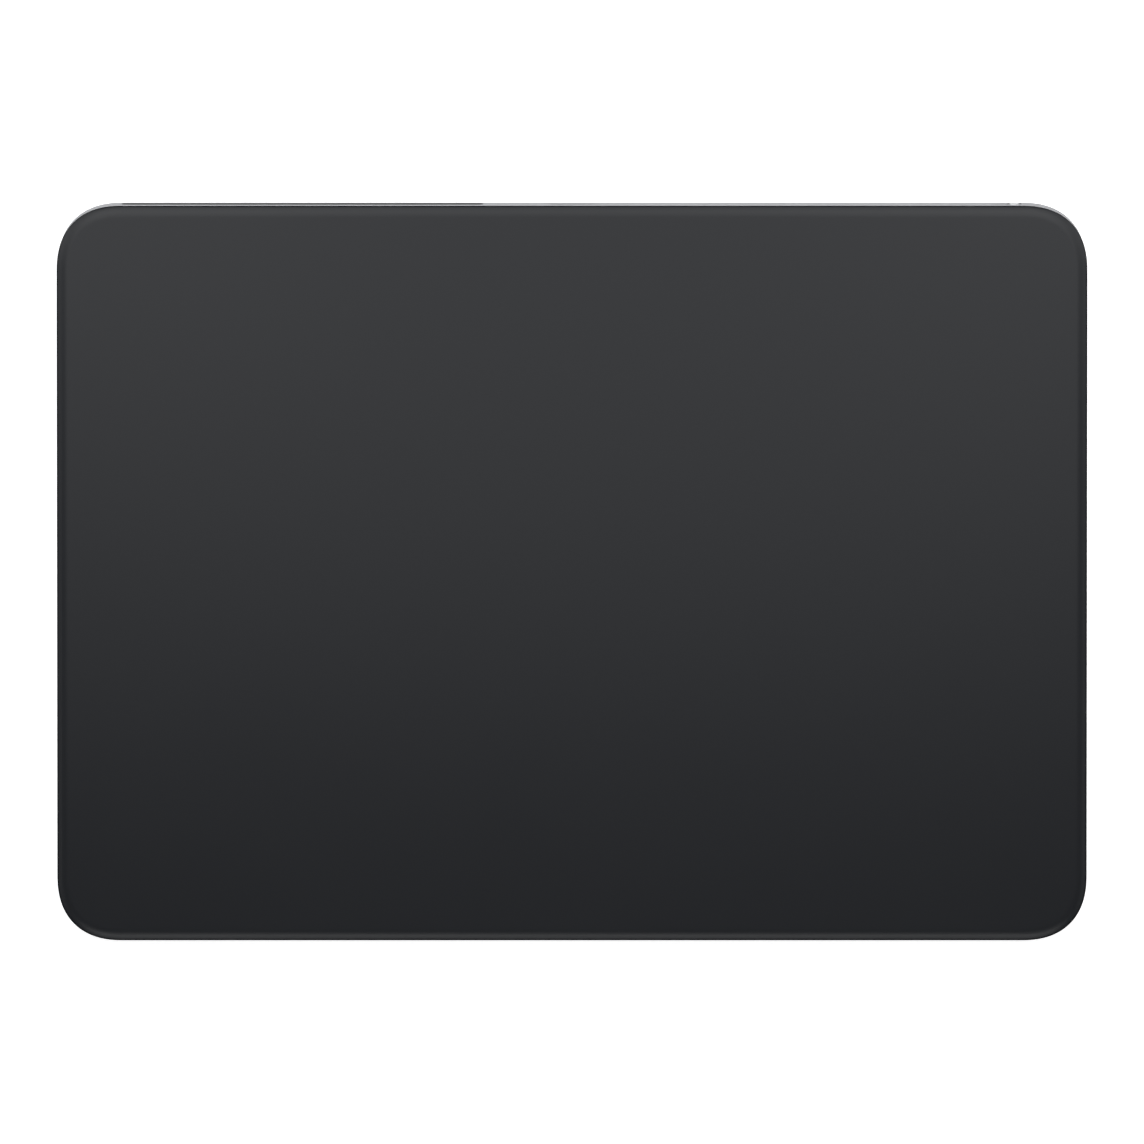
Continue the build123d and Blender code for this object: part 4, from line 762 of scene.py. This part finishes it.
# Painted shade: the next lines build the mask that darkens the knob's rounded tips in the colour.
away = maths(tree, "ABSOLUTE", maths(tree, "SUBTRACT", apart.outputs["X"], KNOB_X * MM), 0)
tip_shade_ramp = maths(tree, "DIVIDE", maths(tree, "SUBTRACT", away, TIP_SHADE_START * MM), TIP_SHADE_FADE * MM)
tip_shade_ramp = maths(tree, "MAXIMUM", maths(tree, "MINIMUM", tip_shade_ramp, 1), 0)
painted_tip_shade = maths(tree, "MULTIPLY", tip_shade_ramp, maths(tree, "LESS_THAN", away, STUB_END * MM))
patch = maths(tree, "LESS_THAN", apart.outputs["X"], (KNOB_X - PATCH_START) * MM)
tint = effect.outputs["Color"]
# The first mix paints shade on the tips in dark grey; the second adds the real green paint of the patch.
for mask, paint_colour in ((painted_tip_shade, (0.1, 0.1, 0.105, 1)), (patch, (0.16, 0.42, 0.22, 1))):
    paint = tree.nodes.new("ShaderNodeMix")
    paint.data_type = "RGBA"
    paint.inputs["B"].default_value = paint_colour
    tree.links.new(mask, paint.inputs["Factor"])
    tree.links.new(tint, paint.inputs["A"])
    tint = paint.outputs["Result"]
tree.links.new(tint, shader.inputs["Base Color"])
bare = maths(tree, "MAXIMUM", maths(tree, "SUBTRACT", METAL_SHARE, patch), 0)
tree.links.new(bare, shader.inputs["Metallic"])
print("masks on:", finishes["slider_metal"].name)

# %% [markdown]
# ### Polished rim of the glass
# The top of the sheet is etched, but the outermost quarter of a millimetre of its rolled edge and
# its sides are polished. The gloss is sharp there and mirrors the dim horizon, which draws a thin
# dark line round the glass. How upright the surface is, measured square to the sheet, gives the
# mask. A second material on those faces would do too, but with a hard border.

# %% Polished rim of the glass
RIM_UPRIGHT, ROLL_UPRIGHT, RIM_ROUGHNESS = 0.82, 0.85, 0.08
surface = glass_tree.nodes.new("ShaderNodeNewGeometry")
uprightness = glass_tree.nodes.new("ShaderNodeVectorMath")
uprightness.operation = "DOT_PRODUCT"
uprightness.inputs[1].default_value = SLOPE.to_3x3() @ Vector((0, 0, 1))
glass_tree.links.new(surface.outputs["Normal"], uprightness.inputs[0])
gloss = glass_tree.nodes.new("ShaderNodeMapRange")
limits = {"From Min": RIM_UPRIGHT, "From Max": ROLL_UPRIGHT, "To Min": RIM_ROUGHNESS}
for label, value in limits.items():
    gloss.inputs[label].default_value = value
glass_tree.links.new(uprightness.outputs["Value"], gloss.inputs["Value"])
glass_tree.links.new(glass_effect.outputs["Roughness"], gloss.inputs["To Max"])
shader = glass_tree.nodes["Principled BSDF"]
glass_tree.links.new(gloss.outputs["Result"], shader.inputs["Roughness"])
print("roughness of the rim:", RIM_ROUGHNESS)

# %% [markdown]
# ### Finishes inside
# Nobody sees these in the picture, but the part can be opened in a scene: steel sheet with its
# rolling lines, a varnished board with its tracks, copper turns, stacked iron sheets, orange film.

# %% Finishes inside
keep("adhesive", skin_material(
    "clear_glue_film", (0.58, 0.58, 0.54), (0.5, 0.5, 0.46), 700.0, 0.35, 0.2, bump=0.1,
))
keep("circuit_board", board_material(
    "varnished_board", (0.012, 0.035, 0.022), (0.022, 0.07, 0.04), 700.0, 0.38,
))
keep("spring_steel", lined_material(
    "rolled_spring_steel", (0.52, 0.52, 0.53), (0.44, 0.44, 0.45), 0.00025, 0.34, "Y",
    metallic=1.0, bump=0.05,
))
keep("core_steel", lined_material(
    "stacked_iron_sheets", (0.2, 0.2, 0.21), (0.11, 0.11, 0.115), 0.00035, 0.45, "Z",
    metallic=0.9, bump=0.5,
))
keep("shield_can", skin_material(
    "tinned_can", (0.62, 0.62, 0.62), (0.52, 0.52, 0.53), 1500.0, 0.28, 0.15,
    metallic=1.0, bump=0.05,
))
keep("flex_film", lined_material(
    "orange_film_circuit", (0.2, 0.085, 0.02), (0.12, 0.045, 0.01), 0.0007, 0.35, "X",
    bump=0.2, depth=0.00001,
))
keep("gel", skin_material(
    "clear_soft_gel", (0.38, 0.38, 0.36), (0.3, 0.3, 0.28), 900.0, 0.25,
    bump=0.15, coat_weight=0.3,
))
keep("screw_steel", skin_material(
    "plated_screw_steel", (0.36, 0.36, 0.37), (0.27, 0.27, 0.28), 3000.0, 0.3,
    metallic=1.0, bump=0.1,
))
keep("battery_foil", skin_material(
    "dark_pouch_foil", (0.1, 0.1, 0.105), (0.07, 0.07, 0.075), 260.0, 0.4, 0.25,
    bump=0.5, depth=0.00008, coat_weight=0.2,
))
keep("chip_plastic", skin_material(
    "chip_resin", (0.026, 0.026, 0.026), (0.016, 0.016, 0.016), 6000.0, 0.55,
    bump=0.2, depth=0.00001,
))
keep("cable_jacket", skin_material(
    "cable_jacket_black", (0.035, 0.035, 0.036), (0.025, 0.025, 0.026), 2500.0, 0.5, bump=0.1,
))
keep("copper_winding", lined_material(
    "enamelled_copper_turns", (0.62, 0.24, 0.09), (0.3, 0.1, 0.035), 0.00022, 0.3, "X",
    metallic=0.9, bump=0.8, depth=0.00003, coat_weight=0.4,
))
print("finishes:", len(finishes))

# %% [markdown]
# ### Giving each piece its finish
# The record says which slot each CAD node has, and each new piece was given its slot above.

# %% Every piece gets its finish
slot_of = {row["node"]: row["material_slot"] for row in frame["record"]["subparts"]}
for node_name, node in frame["nodes"].items():
    node.data.materials.clear()
    node.data.materials.append(finishes[slot_of[node_name]])
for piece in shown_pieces():
    if "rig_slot" in piece:
        piece.data.materials.clear()
        piece.data.materials.append(finishes[piece["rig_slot"]])

# %% [markdown]
# ## Floor, lamps and camera
# The floor is pale, and for the camera and for clear pieces it glows up to white, so the picture
# has a clean background while a soft shadow stays. Gloss sees just under half of that glow, so the
# black glass stays black. The surroundings are dim near the horizon, which draws a darker line
# round the rolled edge of the glass.

# %% Floor and surroundings
FLOOR_SIZE, FLOOR_GLOW, GLOSS_SHARE = 12, 0.66, 0.45


def seen_directly(tree):
    """1 for the camera and clear pieces, a share for gloss, 0 for what lights the object."""
    ray = tree.nodes.new("ShaderNodeLightPath").outputs
    seen = maths(tree, "MAXIMUM", ray["Is Camera Ray"], ray["Is Transmission Ray"])
    return maths(tree, "MAXIMUM", seen, maths(tree, "MULTIPLY", ray["Is Glossy Ray"], GLOSS_SHARE))


select_nothing()
bpy.ops.mesh.primitive_plane_add(size=FLOOR_SIZE)
floor = bpy.context.object
floor.name = "floor"
pale = bpy.data.materials.new("pale_floor")
pale.use_nodes = True
shader = pale.node_tree.nodes["Principled BSDF"]
shader.inputs["Base Color"].default_value = (0.94, 0.94, 0.94, 1)
shader.inputs["Roughness"].default_value = 0.9
shader.inputs["Specular IOR Level"].default_value = 0.0
shader.inputs["Emission Color"].default_value = (1, 1, 1, 1)
glow = maths(pale.node_tree, "MULTIPLY", seen_directly(pale.node_tree), FLOOR_GLOW)
pale.node_tree.links.new(glow, shader.inputs["Emission Strength"])
floor.data.materials.append(pale)

world = bpy.data.worlds.new("studio")
bpy.context.scene.world = world
world.use_nodes = True
studio = world.node_tree
sky = studio.nodes["Background"]
sky.inputs["Color"].default_value = (1, 1, 1, 1)
direction = studio.nodes.new("ShaderNodeTexCoord")
apart = studio.nodes.new("ShaderNodeSeparateXYZ")
studio.links.new(direction.outputs["Generated"], apart.inputs[0])
lift = studio.nodes.new("ShaderNodeMapRange")
lift.interpolation_type = "SMOOTHSTEP"
for label, value in {"From Min": 0.34, "From Max": 0.5, "To Min": 0.02, "To Max": 0.23}.items():
    lift.inputs[label].default_value = value
studio.links.new(apart.outputs["Z"], lift.inputs["Value"])
ray = studio.nodes.new("ShaderNodeLightPath").outputs
strength = maths(studio, "MAXIMUM", ray["Is Camera Ray"], lift.outputs[0])
studio.links.new(strength, sky.inputs["Strength"])
print("floor in metres:", FLOOR_SIZE, "glow:", FLOOR_GLOW)

# %% [markdown]
# ### Lamps
# Three panels hang low over the rear half: satin glass shows them as a slow fall of light from the
# rear edge to the front. The softbox and the cards stand farther away, and each lights one rolled
# edge. The front card is short, so the light line on the front edge fades towards the corners.

# %% Lamps


def lamp(name, place, towards, size, power):
    """A soft rectangular lamp at a place in metres, aimed at a point; the power is in watts."""
    data = bpy.data.lights.new(name, "AREA")
    data.shape, data.size, data.size_y, data.energy = "RECTANGLE", *size, power
    lamp_object = bpy.data.objects.new(name, data)
    bpy.context.scene.collection.objects.link(lamp_object)
    lamp_object.location = place
    aim = Vector(towards) - Vector(place)
    lamp_object.rotation_euler = aim.to_track_quat("-Z", "Y").to_euler()
    lamp_object.visible_camera = False


lamp("middle_panel", (0, 0.165, 0.2), (0, 0.165, 0), (0.26, 0.4), 0.32)
lamp("left_panel", (-0.21, 0.2, 0.17), (-0.14, 0.2, 0), (0.34, 0.34), 0.37)
lamp("right_panel", (0.21, 0.2, 0.17), (0.14, 0.2, 0), (0.34, 0.34), 0.37)
lamp("rear_softbox", (0, 0.55, 0.8), (0, 0.03, 0), (1.2, 0.5), 0.8)
lamp("front_card", (0, -0.85, 0.64), (0, 0, 0), (0.95, 0.4), 2.4)
for side in (-1, 1):
    lamp("side_card", (side * 0.87, 0, 0.59), (0, 0, 0), (1.2, 0.2), 0.75)

# %% [markdown]
# ## Camera
# The picture was taken from far above with a long lens, and aimed so that a sliver of the rear wall
# shows. The frame is 177.65 mm wide at the height of the glass.

# %% Camera
FRAME_WIDTH, RISE, STEP_BACK, SENSOR, AIM_HEIGHT = 0.17765, 4.4, 0.08, 36, 0.008
view_data = bpy.data.cameras.new("camera")
view_data.sensor_width = SENSOR
view_data.lens = SENSOR * RISE / FRAME_WIDTH
view_data.clip_end = 50
camera = bpy.data.objects.new("camera", view_data)
bpy.context.scene.collection.objects.link(camera)
target = Vector((0, 0, AIM_HEIGHT))
camera.location = target + Vector((0, STEP_BACK, RISE))
camera.rotation_euler = (-math.atan2(STEP_BACK, RISE), 0, 0)
bpy.context.scene.camera = camera
bpy.context.scene.view_settings.view_transform = "Standard"
print("lens in millimetres:", round(view_data.lens))
